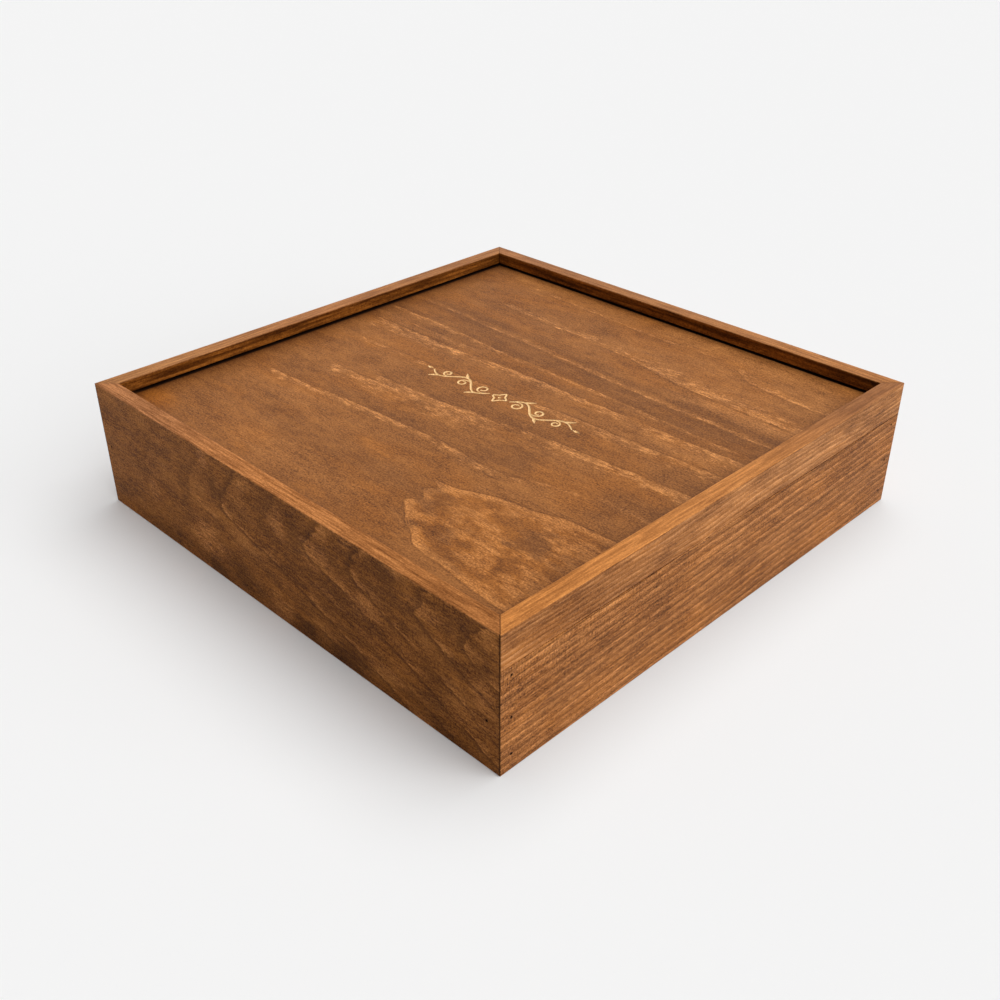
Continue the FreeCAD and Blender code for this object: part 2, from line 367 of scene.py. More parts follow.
class MaterialGraph(NodeGraph):
    """The shader tree of a new material."""

    def __init__(self, name: str) -> None:
        """Start the material.

        Args:
            name: Its finish in a maker's words.
        """
        self.material = bpy.data.materials.new(name)
        self.material.use_nodes = True
        super().__init__(self.material.node_tree)

    def wear(self, **inputs: object) -> Signal:
        """Feed the Principled BSDF.

        Args:
            inputs: Its inputs by name, with underscores for spaces.

        Returns:
            Its output.
        """
        shader = self.find("BSDF_PRINCIPLED")
        for label, source in spaced(inputs).items():
            self.feed(shader.inputs[label], source)
        return Signal(self, shader.outputs[0])


# ---------------------------------------------------------------- effects that the finishes share
class WoodEffects:
    """The shader groups that every wooden finish is made of.

    A place in a board is X along the grain, Y into the board from its show face, and Z up.
    """

    def __init__(self) -> None:
        """Build each group once."""
        self.rings = self._growth_rings()
        self.texture = self._wood_texture()
        self.streak = self._light_streak()
        self.edges = self._worn_edges()
        self.joints = self._joint_shadows()
        self.cloud = self._soft_cloud()

    @staticmethod
    def _growth_rings() -> bpy.types.NodeTree:
        """Growth rings round a heart line that runs along the board.

        Returns:
            The group. Latewood rises over each ring to a sharp edge, with the Outline just past it.
            Field is the distance out from the heart that the rings are drawn at.
        """
        group = GroupGraph("growth_rings", {
            "Place": "NodeSocketVector", "Heart Height": 0.0, "Heart Round": 5.0, "Flank": 1.0,
            "Skew": 0.0, "Advance": 0.0, "Depth Gain": 0.3, "Spacing": 4.0, "Rise": 0.4,
            "Sway": 4.0, "Ripple": 0.6, "Seed": 0.0,
        })
        (place, heart_height, heart_round, flank, skew, advance, depth_gain, spacing, rise, sway,
         ripple, seed) = group.given
        along, depth, up = group.axes(place)
        off_heart = up - heart_height
        outwards = (flank * group.distance(off_heart, heart_round) + skew * off_heart
                    + depth_gain * depth + group.sway(place, (120, 40, 40), seed, sway, detail=1)
                    + group.sway(place, (14, 5, 5), seed, ripple, detail=4))
        rings = outwards - advance * along
        turns = rings / spacing
        phase = group.math("FRACT", turns)
        tone = group.result("ShaderNodeTexWhiteNoise", {"W": group.math("FLOOR", turns) + seed},
                            noise_dimensions="1D")
        group.give("Latewood", phase.step(rise, 0.9) * phase.fade(0.92, 1.0))
        group.give("Outline", phase.step(0.0, 0.06) * phase.fade(0.06, 0.3))
        group.give("Tone", tone)
        group.give("Field", rings)
        return group.tree

    @staticmethod
    def _wood_texture() -> bpy.types.NodeTree:
        """Clouds of stain, streaks and threads of the grain, its pores, and the sanded mottle.

        Returns:
            The group.
        """
        group = GroupGraph("wood_texture", {"Place": "NodeSocketVector", "Seed": 0.0})
        place, seed = group.given
        layers = (
            ("Cloud", (64, 26, 26), 2, 0.5, 0.2), ("Patch", (20, 8, 8), 4, 0.6, 0.2),
            ("Streak", (20, 1.8, 1.8), 3, 0.62, 0.2), ("Thread", (5, 0.9, 0.9), 2, 0.5, 0.25),
            ("Mottle", (1.2, 0.8, 0.8), 2, 0.7, 0.25),
        )       # cell, detail, roughness, and how far to both sides of a half the noise is spread
        for label, cell, detail, roughness, spread in layers:
            layer = group.noise(place, cell, seed, detail, roughness)
            group.give(label, layer.step(0.5 - spread, 0.5 + spread))
        dash = group.noise(place, (3.2, 0.8, 0.8), seed, detail=1)
        swarm = group.noise(place, (20, 10, 10), seed, detail=1)
        group.give("Pore", dash.step(0.60, 0.70) * swarm.step(0.45, 0.6))
        return group.tree

    @staticmethod
    def _light_streak() -> bpy.types.NodeTree:
        """A light band with one sharp edge, which fades away from that edge.

        Returns:
            The group. Its Offset is the distance past the sharp edge, negative inside the band. Past
            the edge lie a thin dark Outline and a broad Shade.
        """
        group = GroupGraph("light_streak", {
            "Offset": 0.0, "Width": 5.0, "Along": 0.0, "Start": 0.0, "End": RUN,
        })
        offset, width, along, start, end = group.given
        whole = (along - start).step(-5.0, 7.0) * (end - along).step(-5.0, 7.0)
        past = offset.step(0.0, 0.6)
        group.give("Light", offset.fade(-0.5, 0.3) * (offset / width).step(-1.15, -0.1) * whole)
        group.give("Outline", past * offset.fade(0.6, 2.4) * whole)
        group.give("Shade", past * offset.fade(2.0, 14.0) * whole)
        return group.tree

    @staticmethod
    def _worn_edges() -> bpy.types.NodeTree:
        """The sanded long edges of a board, lighter from wear and as a painted highlight, and its narrow
        upper face with lines along it.

        Returns:
            The group.
        """
        group = GroupGraph("worn_edges", {"Place": "NodeSocketVector", "Seed": 0.0})
        place, seed = group.given
        _, depth, up = group.axes(place)
        below = HEIGHT - up
        reach = group.noise(place, (14, 2, 2), seed, detail=3) * 0.8
        edges = ((depth, below), (THICKNESS - depth, below), (depth, up))
        masks = [(group.distance(*legs) - reach).fade(0.1, 0.75) for legs in edges]
        lines = group.noise(place, (30, 1.4, 9), seed, detail=4, roughness=0.6)
        group.give("Arris", group.highest(*masks))
        group.give("Rim", below.fade(0.15, 0.45))
        group.give("Lines", lines.step(0.33, 0.67))
        return group.tree

    @staticmethod
    def _joint_shadows() -> bpy.types.NodeTree:
        """Dark glue line and painted shade of mitred ends, the darker inner face, and painted shade in
        its groove.

        Returns:
            The group.
        """
        group = GroupGraph("joint_shadows", {"Place": "NodeSocketVector"})
        along, depth, up = group.axes(group.given[0])
        other_way = RUN - along
        off_mitre = group.lowest(abs(along - depth), abs(other_way - depth))
        inner = THICKNESS - depth
        sunk = inner.step(0.05, 0.4) * inner.fade(GROOVE_FLOOR, GROOVE_FLOOR + 0.2)
        low, high = GROOVE_SPAN
        group.give("Seam", off_mitre.fade(0.15, 0.55) * depth.fade(THICKNESS, THICKNESS + 0.4))
        # Painted shade at the arris of the mitred ends.
        group.give("End", group.lowest(along, other_way).fade(0.5, 1.0))
        # Painted shade in the lid's groove, near black.
        group.give("Groove", sunk * (up - low).step(-0.3, 0.0) * (high - up).step(-0.5, 0.0))
        group.give("Inner", inner.fade(0.15, 0.3))
        return group.tree

    @staticmethod
    def _soft_cloud() -> bpy.types.NodeTree:
        """A soft ragged patch round a centre, as long and as wide as its two reaches.

        Returns:
            The group.
        """
        group = GroupGraph("soft_cloud", {
            "Along": 0.0, "Across": 0.0, "Ragged": 0.0, "Middle Along": 0.0, "Middle Across": 0.0,
            "Reach Along": 20.0, "Reach Across": 10.0,
        })
        along, across, ragged, middle_along, middle_across, reach_along, reach_across = group.given
        away = group.distance((along - middle_along) / reach_along,
                              (across - middle_across) / reach_across)
        group.give("Mask", (away + ragged).fade(0.4, 1.15))
        return group.tree


# ---------------------------------------------------------------- what a finish is told
class BoardSide(Enum):
    """Side of the box that a board stands on, as degrees about the upright axis from the front."""

    FRONT = 0
    RIGHT = 90
    BACK = 180
    LEFT = -90

    @property
    def turn(self) -> float:
        """The turn, in radians, that brings the board to the front."""
        return math.radians(-self.value)


@dataclass(frozen=True)
class StainPalette:
    """Display colours of one stained board."""

    ground: Colour = (147, 90, 43)
    dark: Colour = (104, 62, 27)
    light: Colour = (200, 133, 75)
    amber: Colour = (162, 96, 36)
    rim: Colour = (162, 108, 66)        # the narrow upper face from end to end
    rim_middle: Colour = (167, 110, 66)
    rim_far: Colour = (169, 114, 67)
    # near black: the glue line of a joint, and painted shade
    seam: Colour = (26, 12, 5)
    # inside the box: a darker stain with painted shade
    inner: Colour = (141, 83, 28)
    inner_dark: Colour = (84, 43, 6)


@dataclass(frozen=True)
class RingFigure:
    """How the growth rings cross a board. Lengths are in millimetres."""

    heart_height: float = -400.0
    heart_round: float = 1.0
    flank: float = 1.0
    skew: float = 0.0
    advance: float = 0.03
    depth_gain: float = 0.4
    spacing: float = 4.4
    rise: float = 0.4
    sway: float = 2.5
    ripple: float = 0.5

    def inputs(self) -> dict[str, Value]:
        """The values as inputs of the growth_rings group."""
        return {name.title(): value for name, value in vars(self).items()}


@dataclass(frozen=True)
class Texture:
    """Strength of each part of the wood_texture group in a finish."""

    cloud: float = 0.22
    patch: float = 0.20
    streak: float = 0.22
    thread: float = 0.22
    mottle: float = 0.30
    pore: float = 0.5
    amber: float = 0.35

    def brightness(self, paint: BoardPaint) -> Signal:
        """The factor that clouds, patches, streaks, threads and mottle put on a colour.

        Args:
            paint: The finish that is being built.

        Returns:
            The factor, about 1.
        """
        parts = [(paint.texture[name.title()] - 0.5) * (2 * getattr(self, name))
                 for name in ("cloud", "patch", "streak", "thread", "mottle")]
        return paint.highest(sum(parts, 1.0), 0.3)


@dataclass(frozen=True)
class Cloud:
    """A soft patch of stain, in millimetres: light for a positive strength, dark for a negative one."""

    strength: float
    along: float
    across: float
    long: float
    wide: float


@dataclass(frozen=True)
class Streak:
    """A light band along the lid panel, drawn by its sharp edge.

    The edge goes through (along, across) points in millimetres, from the back and from the left. A
    positive width lies to the right of the edge, and a negative one to its left. A broad shade lies
    on the other side.
    """

    strength: float
    width: float
    shade: float
    edge: tuple[Point, ...]


def brad_places(side: BoardSide) -> list[Point]:
    """Where brads go into the show face of the board on one side of the box.

    Args:
        side: Side that the board stands on.

    Returns:
        The place along the board and the height of each brad, in millimetres.
    """
    turn = Matrix.Rotation(side.turn, 3, "Z")
    places = []
    for node in brad_nodes():
        low, high = (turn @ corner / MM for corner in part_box(node))
        driven, sideways = abs(high.y - low.y), abs(high.x - low.x)
        if driven > sideways and low.y < 0:
            places.append(((low.x + high.x + RUN) / 2, (low.z + high.z) / 2))
    return places


def brad_nodes() -> list[str]:
    """The names of the brads' nodes."""
    return [node for node in sorted(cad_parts) if "_brad_" in node]


# ---------------------------------------------------------------- finishes
class BoardPaint(MaterialGraph):
    """The material of a board while its finish is built, with places in the board at hand."""

    def __init__(self, finish: Finish, effects: WoodEffects) -> None:
        """Start the material.

        Args:
            finish: What it is built for.
            effects: The shared shader groups.
        """
        super().__init__(finish.name)
        self.seed, self.effects = finish.seed, effects
        self.place = self.result("ShaderNodeMapping", {
            "Vector": self.result("ShaderNodeTexCoord", {}, "Object"),
            "Location": (RUN / 2, RUN / 2, 0.0), "Rotation": (0.0, 0.0, finish.side.turn),
            "Scale": (1 / MM,) * 3,
        })
        self.along, self.depth, self.up = self.axes(self.place)

    @cached_property
    def texture(self) -> dict[str, Signal]:
        """The wood_texture effect in this board."""
        return self.effect(self.effects.texture, Place=self.place, Seed=self.seed)

    def rings(self, figure: RingFigure, shift: float = 0.0, **inputs: Value) -> dict[str, Signal]:
        """The growth_rings effect in this board.

        Args:
            figure: How the rings cross the board.
            shift: How far their seed is from the finish's own.
            inputs: Inputs that are used in place of the figure's.

        Returns:
            The effect's outputs by name.
        """
        return self.effect(self.effects.rings, Place=self.place, Seed=self.seed + shift,
                           **figure.inputs() | inputs)

    def pattern(self, cell: Cell, shift: float, detail: float = 2.0, roughness: float = 0.5) -> Signal:
        """Noise in this board, with a seed that is shifted from the finish's own."""
        return self.noise(self.place, cell, self.seed + shift, detail, roughness)

    def bump(self, height: Signal, distance: float = MM) -> Signal:
        """The normal of a relief whose height of 1 stands for a distance in metres."""
        return self.result("ShaderNodeBump", {"Height": height, "Distance": distance, "Strength": 1.0})

    def clouds(self, across: Signal, shift: float, clouds: Iterable[Cloud]) -> tuple[Value, Value]:
        """Soft patches at set places of the board.

        Args:
            across: Place across the grain.
            shift: How far the seed of the ragged edges is from the finish's own.
            clouds: The patches.

        Returns:
            How much light and how much dark wood shows.
        """
        ragged = self.sway(self.place, (16, 4, 4), self.seed + shift, 1.0, detail=5)
        lights, darks = [0.0], [0.0]
        for cloud in clouds:
            mask = self.effect(
                self.effects.cloud, Along=self.along, Across=across, Ragged=ragged,
                Middle_Along=cloud.along, Middle_Across=cloud.across, Reach_Along=cloud.long,
                Reach_Across=cloud.wide,
            )["Mask"]
            shown = lights if cloud.strength > 0 else darks
            shown.append(mask * abs(cloud.strength))
        return self.highest(*lights), self.highest(*darks)


@dataclass(frozen=True)
class Finish:
    """What every finish has. Each kind says how it is laid."""

    name: str
    side: BoardSide
    seed: float

    def build(self, effects: WoodEffects) -> bpy.types.Material:
        """Build the finish.

        Args:
            effects: The shared shader groups.

        Returns:
            The material.
        """
        paint = BoardPaint(self, effects)
        paint.wear(**self.lay(paint))
        return paint.material

    def lay(self, paint: BoardPaint) -> dict[str, object]:
        """The inputs of the Principled BSDF, by name, with underscores for spaces."""
        raise NotImplementedError


@dataclass(frozen=True)
class BoardFinish(Finish):
    """Brown stain and thin wax on a mitred softwood board."""

    figure: RingFigure = RingFigure()
    palette: StainPalette = StainPalette()
    texture: Texture = Texture()
    latewood: float = 0.55
    outline: float = 0.25
    # lightness of the sanded edges, from wear and as a painted highlight
    arris: float = 0.35
    rim_lines: float = 0.55
    gloss: float = WOOD_GLOSS
    pale_start: float = 0.0         # share of light wood at the two ends of the board
    pale_end: float = 0.0
    # strength of the painted shade at the mitred ends
    end_shade: float = 0.0
    inner_share: float = 1.0        # how far the darker stain and painted shade inside the box hide the figure
    bounce_share: float = 1.0       # how much of its colour the board sends on to the paper

    def lay(self, paint: BoardPaint) -> dict[str, object]:
        """Lay the finish.

        Args:
            paint: The material to build in.

        Returns:
            The inputs of the Principled BSDF.
        """
        stain, texture = self.palette, paint.texture
        joints = paint.effect(paint.effects.joints, Place=paint.place)
        light, dark = self.grain(paint)
        # Plane marks and, on the front board and the rail, the painted shadow under the rail.
        relief = self.tool_marks(paint)

        amber = paint.pattern((50, 18, 18), 5).step(0.42, 0.66) * self.texture.amber
        colour = paint.mix(amber, stain.ground, stain.amber)
        paler = paint.along.step(0.1 * RUN, 0.8 * RUN, self.pale_start, self.pale_end)
        colour = paint.mix(light + paler, colour, stain.light)
        colour = paint.mix(dark, colour, stain.dark)
        banding = paint.pattern((60, 2.6, 2.6), 6, detail=4).step(0.38, 0.62)
        inner = paint.mix(banding, stain.inner_dark, stain.inner)
        # Inner face: darker stain with painted shade.
        colour = paint.mix(joints["Inner"] * self.inner_share, colour, inner)
        colour, calm = self._rim(paint, colour)
        speckle = (self.texture.brightness(paint) - 1.0) * calm
        colour = paint.brighten(colour, 1.0 + speckle + relief)
        pores = texture["Pore"] * calm * self.texture.pore
        colour = paint.mix(pores, colour, stain.dark)
        # Dark glue line of the mitres, painted shade in the groove and at the ends, and the darkened brad
        # holes.
        shadow = paint.highest(joints["Seam"] * 0.5, joints["Groove"], joints["End"] * self.end_shade,
                               self._brad_holes(paint))
        colour = paint.mix(shadow, colour, stain.seam)
        if self.bounce_share < 1:
            bounced = paint.result("ShaderNodeLightPath", {}, "Is Diffuse Ray")
            colour = paint.mix(bounced * (1 - self.bounce_share), colour, DULL_BOUNCE)

        height = (texture["Thread"] * 0.02 + light * 0.03 - pores * 0.08 - joints["Seam"] * 0.1
                  + relief * 0.2)
        return {"Base_Color": colour, "Roughness": 0.5 + texture["Streak"] * 0.1 - light * 0.12,
                "Normal": paint.bump(height), "Specular_IOR_Level": self.gloss}

    def grain(self, paint: BoardPaint) -> tuple[Signal, Signal]:
        """The light and the dark marks of the growth rings.

        Args:
            paint: The material to build in.

        Returns:
            How much light and how much dark wood shows.
        """
        rings = paint.rings(self.figure)
        strength = rings["Tone"] * 0.45 + 0.55
        patches = paint.texture["Patch"] * 0.6 + 0.45
        light = rings["Latewood"] * strength * patches * self.latewood
        return light, rings["Outline"] * strength * self.outline

    def tool_marks(self, paint: BoardPaint) -> Value:
        """Marks of the plane across the grain, and any painted shadow at a joint, as a shift in
        brightness to both sides of zero.
        """
        return 0.0

    def _brad_holes(self, paint: BoardPaint) -> Signal:
        """How dark the holes over the brads in the show face are painted.

        Args:
            paint: The material to build in.

        Returns:
            How dark the holes are.
        """
        away = [paint.distance(paint.along - middle, paint.up - height)
                for middle, height in brad_places(self.side)]
        near_face = paint.depth.fade(0.4 * THICKNESS, 0.5 * THICKNESS)
        return paint.lowest(*away).step(0.6, 0.95, 0.9, 0.0) * near_face

    def _rim(self, paint: BoardPaint, colour: Signal) -> tuple[Signal, Signal]:
        """Lay the narrow upper face and the sanded edges, lighter from wear and as a painted highlight,
        over a colour.

        Args:
            paint: The material to build in.
            colour: The board's colour.

        Returns:
            The colour, and how much of the texture it keeps.
        """
        stain = self.palette
        edges = paint.effect(paint.effects.edges, Place=paint.place, Seed=self.seed)
        face = paint.mix(paint.along.step(0.1 * RUN, 0.5 * RUN), stain.rim, stain.rim_middle)
        face = paint.mix(paint.along.step(0.5 * RUN, 0.9 * RUN), face, stain.rim_far)
        face = paint.brighten(face, 1.0 + (edges["Lines"] - 0.5) * self.rim_lines)
        # Sanded edges: lighter from wear, and a painted highlight where the rounding catches the light.
        colour = paint.mix(edges["Arris"] * self.arris, colour, stain.rim)
        return paint.mix(edges["Rim"], colour, face), 1.0 - edges["Rim"] * 0.5


@dataclass(frozen=True)
class QuarterSawnFinish(BoardFinish):
    """A board whose rings run as fine level lines, with plane marks."""

    fine_rings: float = 0.3
    fine_spacing: float = 0.37                  # share of the main rings' spacing
    fine_ripple: float = 0.6
    chatter: float = 0.0                        # strength of the plane's ticks
    chatter_cell: Cell = (0.8, 4, 2.8)
    chatter_along: Point = (20, 130)            # where they fade out along the board
    chatter_up: Point = (30, 56)                # where they come in up the board

    def grain(self, paint: BoardPaint) -> tuple[Signal, Signal]:
        """The main rings, and the fainter rings between them.

        Args:
            paint: The material to build in.

        Returns:
            How much light and how much dark wood shows.
        """
        light, dark = super().grain(paint)
        between = replace(self.figure, spacing=self.figure.spacing * self.fine_spacing,
                          ripple=self.figure.ripple * self.fine_ripple)
        fine = paint.rings(between, shift=9)
        return paint.highest(light, fine["Latewood"] * fine["Tone"] * self.fine_rings), dark

    def tool_marks(self, paint: BoardPaint) -> Value:
        """Ticks across the grain where the plane skipped, and the thin shadow under the rail.

        Args:
            paint: The material to build in.

        Returns:
            A shift in brightness.
        """
        ticks = paint.pattern(self.chatter_cell, 2).step(0.35, 0.65, -1.0, 1.0)
        reach = paint.along.fade(*self.chatter_along) * paint.up.step(*self.chatter_up)
        # Painted shadow: a thin dark line where the rail meets the front board.
        off_joint = abs(paint.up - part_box("lid_rail")[0].z / MM)
        joint = off_joint.step(0.1, 0.5, -0.3, 0.0) * paint.depth.fade(0.3, 0.6)
        return ticks * reach * self.chatter + joint


@dataclass(frozen=True)
class CrownBoardFinish(BoardFinish):
    """A flat-sawn board with ragged crowns, each with its tip at a place of its own."""

    heart_line: tuple[Point, ...] = ((0, 42), (121, 49), (195, 58), (270, 61), (335, 58))
    tips: tuple[Point, ...] = (
        (44, 0.25), (90, 0.4), (122, 0.95), (158, 0.35), (194, 0.95), (229, 0.85), (277, 0.85),
        (312, 0.7),
    )       # place along the board and strength
    crown: tuple[Point, ...] = ((-7, 0.0), (-0.7, -0.42), (0.8, 0.5), (14, 0.1))    # off a tip, and tone
    clouds: tuple[Cloud, ...] = (
        Cloud(0.60, 106, 20, 18, 12), Cloud(0.50, 172, 8, 13, 8), Cloud(0.60, 112, 74, 5, 6),
        Cloud(0.50, 208, 59, 13, 9), Cloud(0.50, 245, 47, 14, 9), Cloud(0.45, 177, 61, 6, 9),
        Cloud(0.45, 232, 79, 7, 4), Cloud(0.45, 268, 79, 9, 5), Cloud(0.40, 288, 67, 12, 6),
        Cloud(0.45, 325, 40, 9, 12), Cloud(0.35, 51, 29, 6, 8), Cloud(0.32, 255, 14, 16, 6),
        Cloud(0.25, 145, 36, 20, 8), Cloud(0.22, 315, 22, 22, 10),
        Cloud(-0.60, 112, 3, 13, 9), Cloud(-0.60, 194, 4, 14, 10), Cloud(-0.60, 230, 6, 20, 10),
        Cloud(-0.40, 88, 46, 7, 24), Cloud(-0.40, 120, 60, 6, 12), Cloud(-0.35, 140, 12, 12, 10),
        Cloud(-0.35, 262, 72, 12, 10), Cloud(-0.20, 290, 36, 20, 8), Cloud(-0.25, 305, 3, 14, 4),
        Cloud(-0.35, 192, 62, 7, 12), Cloud(-0.30, 55, 6, 40, 6),
    )

    def grain(self, paint: BoardPaint) -> tuple[Signal, Signal]:
        """Crowns that open along the board, dark outside their edge and light inside.

        Args:
            paint: The material to build in.

        Returns:
            How much light and how much dark wood shows.
        """
        rings = paint.rings(self.figure, Heart_Height=paint.curve(paint.along, self.heart_line))
        stops = [((tip + offset) / RUN, 0.5 + tone * strength)
                 for tip, strength in self.tips for offset, tone in self.crown]
        tone = paint.ramp(-rings["Field"] / RUN, stops) - 0.5
        flecks = paint.pattern((9, 1.3, 1.3), 3, detail=3, roughness=0.6)
        broken = paint.texture["Patch"].step(0.35, 0.8) * flecks.step(0.3, 0.6, 0.5, 1.0)
        light = paint.highest(tone, 0.0) * broken * (2 * self.latewood)
        dark = paint.highest(-tone, 0.0) * (2 * self.outline)
        pale, stained = paint.clouds(paint.up, 7, self.clouds)
        pale = pale * flecks.step(0.3, 0.6, 0.5, 1.3)
        return paint.highest(light, pale), paint.highest(dark, stained)


@dataclass(frozen=True)
class PanelFinish(Finish):
    """Brown stain and thin wax on the flat-sawn face of the lid's plywood.

    The place along its board runs from the back to the front, and the depth from the left to the right.
    """

    name: str = "stained_lid_panel"
    side: BoardSide = BoardSide.LEFT
    seed: float = 40.0
    palette: StainPalette = StainPalette(
        ground=(147, 92, 45), dark=(104, 61, 28), light=(219, 147, 82), amber=(160, 93, 30),
        inner_dark=(60, 26, 2),
    )
    texture: Texture = Texture(cloud=0.14, patch=0.14, streak=0.08, thread=0.18, mottle=0.50,
                               pore=0.4, amber=0.3)
    streaks: tuple[Streak, ...] = (
        Streak(0.25, -3, 0.0, ((44, 28), (65, 27), (92, 24), (107, 23.5))),
        Streak(0.70, -8, 0.35, ((38, 98), (77, 99), (98, 102.5), (132, 104.2), (155, 105.8),
                                (182, 106.7), (200, 105.8), (218, 105), (234, 107))),
        Streak(0.35, -6, 0.2, ((236, 107), (250, 112.5), (265, 116.7), (284, 118.5))),
        Streak(0.40, -6, 0.2, ((282, 124), (315, 124), (335, 125))),
        Streak(0.60, -16, 0.0, ((60, 129), (90, 130), (105, 132), (122, 136))),
        Streak(0.62, -26, 0.3, ((92, 137), (107, 138.5), (128, 139.2), (150, 140), (160, 142.5),
                                (194, 143))),
        Streak(0.45, -6, 0.2, ((190, 145.5), (205, 148), (222, 149.5))),
        Streak(0.70, -14, 0.25, ((222, 150), (235, 151.5), (260, 153), (288, 155), (335, 157.5))),
        Streak(0.45, -7, 0.0, ((40, 168.5), (108, 170.5), (168, 175.5), (218, 179))),
        Streak(0.62, -12, 0.0, ((205, 179), (268, 181.5), (335, 184))),
        Streak(0.72, -16, 0.0, ((22, 196.5), (92, 197), (112, 198))),
        Streak(0.70, -11, 0.35, ((112, 198), (135, 199.5), (168, 200.5), (200, 201), (240, 201.5))),
        Streak(0.68, -14, 0.35, ((248, 202), (290, 202.5), (335, 204))),
        Streak(0.50, -8, 0.3, ((16, 206), (90, 206), (110, 206.5))),
        Streak(0.60, -6, 0.6, ((16, 218), (77, 217.5), (92, 217), (118, 215.5), (148, 215))),
        Streak(0.45, -5, 0.6, ((148, 215), (188, 214), (228, 213), (280, 211.5), (335, 210))),
        Streak(0.55, 5, 0.6, ((18, 239), (58, 238.5), (78, 237), (108, 235.5), (128, 234.5),
                              (168, 232), (228, 229), (335, 227))),
        Streak(0.0, -1, 0.45, ((18, 242), (78, 241.5), (118, 240), (168, 236.5), (228, 233.5),
                               (335, 231.5))),
        Streak(0.50, 12, 0.1, ((67, 271.5), (92, 269.5), (118, 267.5), (168, 265.5), (192, 263.5),
                               (210, 260))),
        Streak(0.68, 18, 0.0, ((192, 263.5), (218, 257.5), (248, 254.5), (335, 251.5))),
        Streak(0.45, 5, 0.1, ((57, 307.5), (88, 305.5), (132, 303.5), (168, 301), (198, 301),
                              (228, 303), (240, 302))),
        Streak(0.60, 6, 0.15, ((242, 298), (250, 294), (258, 288.5), (268, 286), (335, 283.5))),
        Streak(0.40, -3, 0.0, ((250, 298), (268, 294.5), (280, 292), (292, 289))),
    )
    arch_left: tuple[Point, ...] = ((205, 50), (218, 48.5), (230, 39.5), (240, 34.5), (248, 28.5),
                                    (255, 27), (275, 25.5), (295, 22.8), (335, 21))
    arch_right: tuple[Point, ...] = ((205, 77.5), (225, 78.5), (235, 82.8), (250, 87.8), (270, 91.2),
                                     (285, 96.2), (298, 97), (335, 99))
    arch_top: tuple[Point, ...] = ((40, 222), (48.5, 218), (53.5, 214.5), (58.5, 220), (67, 213.5),
                                   (72, 218), (77.5, 210), (80, 226))
    clouds: tuple[Cloud, ...] = (
        Cloud(-0.32, 160, 62, 130, 15), Cloud(-0.50, 222, 120, 26, 20), Cloud(-0.30, 140, 128, 14, 8),
        Cloud(-0.60, 229, 60, 11, 16), Cloud(-0.50, 250, 45, 13, 11), Cloud(-0.45, 268, 33, 14, 6),
        Cloud(-0.70, 287, 68, 14, 14), Cloud(-0.45, 266, 76, 10, 8), Cloud(-0.35, 312, 62, 8, 24),
        Cloud(-0.40, 65, 229, 85, 8), Cloud(-0.40, 120, 227, 60, 7), Cloud(-0.20, 45, 297, 30, 16),
        Cloud(-0.20, 40, 245, 34, 10), Cloud(-0.25, 215, 24, 40, 9),
        Cloud(0.08, 140, 38, 70, 12), Cloud(0.08, 80, 82, 40, 14), Cloud(0.28, 290, 246, 50, 8),
        Cloud(0.14, 240, 312, 70, 8), Cloud(0.16, 290, 190, 50, 8), Cloud(0.14, 30, 202, 20, 8),
    )

    corner: Point = (18, 20)            # middle of the painted amber shade at the back left, with warm bounced light
    corner_reach: Point = (10, 34)
    worn_along: Point = (90, 300)       # where a painted sheen lightens the panel towards the front right
    worn_across: Point = (190, 325)
    pool_reach: float = 9.0             # of the stain pooling along the back, and of the painted shade there
    rubbed_line: float = 18.0           # from the outside of the left and of the front, where the painted shade of the left wall and the rail lies
    rubbed_reach: float = 3.0

    def lay(self, paint: BoardPaint) -> dict[str, object]:
        """Lay the finish.

        Args:
            paint: The material to build in.

        Returns:
            The inputs of the Principled BSDF.
        """
        stain, texture, along, across = self.palette, paint.texture, paint.along, paint.depth
        ragged = (paint.sway(paint.place, (8, 10, 10), self.seed + 1, 1.5, detail=5)
                  + paint.sway(paint.place, (60, 40, 40), self.seed + 2, 1.0, detail=1))
        light, dark = self._streaks(paint, across + ragged)
        arch, arch_shade, arch_body = self._arch(paint, ragged)
        pale, stained = paint.clouds(across, 8, self.clouds)
        light = paint.highest(light, arch, pale)
        dark = paint.highest(dark, arch_shade, stained)

        # Painted shade with warm bounced light in the back left corner, under the back and left walls.
        off_corner = paint.distance(along - self.corner[0], (across - self.corner[1]) * 1.6)
        corner = off_corner.step(*self.corner_reach, 0.9, 0.0)
        amber = paint.pattern((50, 22, 22), 5).step(0.45, 0.66) * self.texture.amber
        colour = paint.mix(paint.highest(amber, corner, arch_body * 0.5), stain.ground, stain.amber)
        # Painted sheen: lighter wood towards the front right, in place of the lamps' reflection there.
        painted_sheen = across.step(*self.worn_across) * along.step(*self.worn_along) * 0.12
        colour = paint.mix(light + painted_sheen, colour, stain.light)
        colour = paint.mix(dark, colour, stain.dark)
        colour = paint.brighten(colour, self.texture.brightness(paint))
        pores = texture["Pore"] * (self.texture.pore + light * 0.5)
        colour = paint.mix(pores, colour, stain.dark)
        colour = self._plies(paint, self._edges(paint, colour))

        height = texture["Thread"] * 0.012 + light * 0.02 - pores * 0.05
        return {"Base_Color": colour, "Roughness": 0.48 + texture["Streak"] * 0.08 - light * 0.1,
                "Normal": paint.bump(height), "Specular_IOR_Level": 1.5 * WOOD_GLOSS}

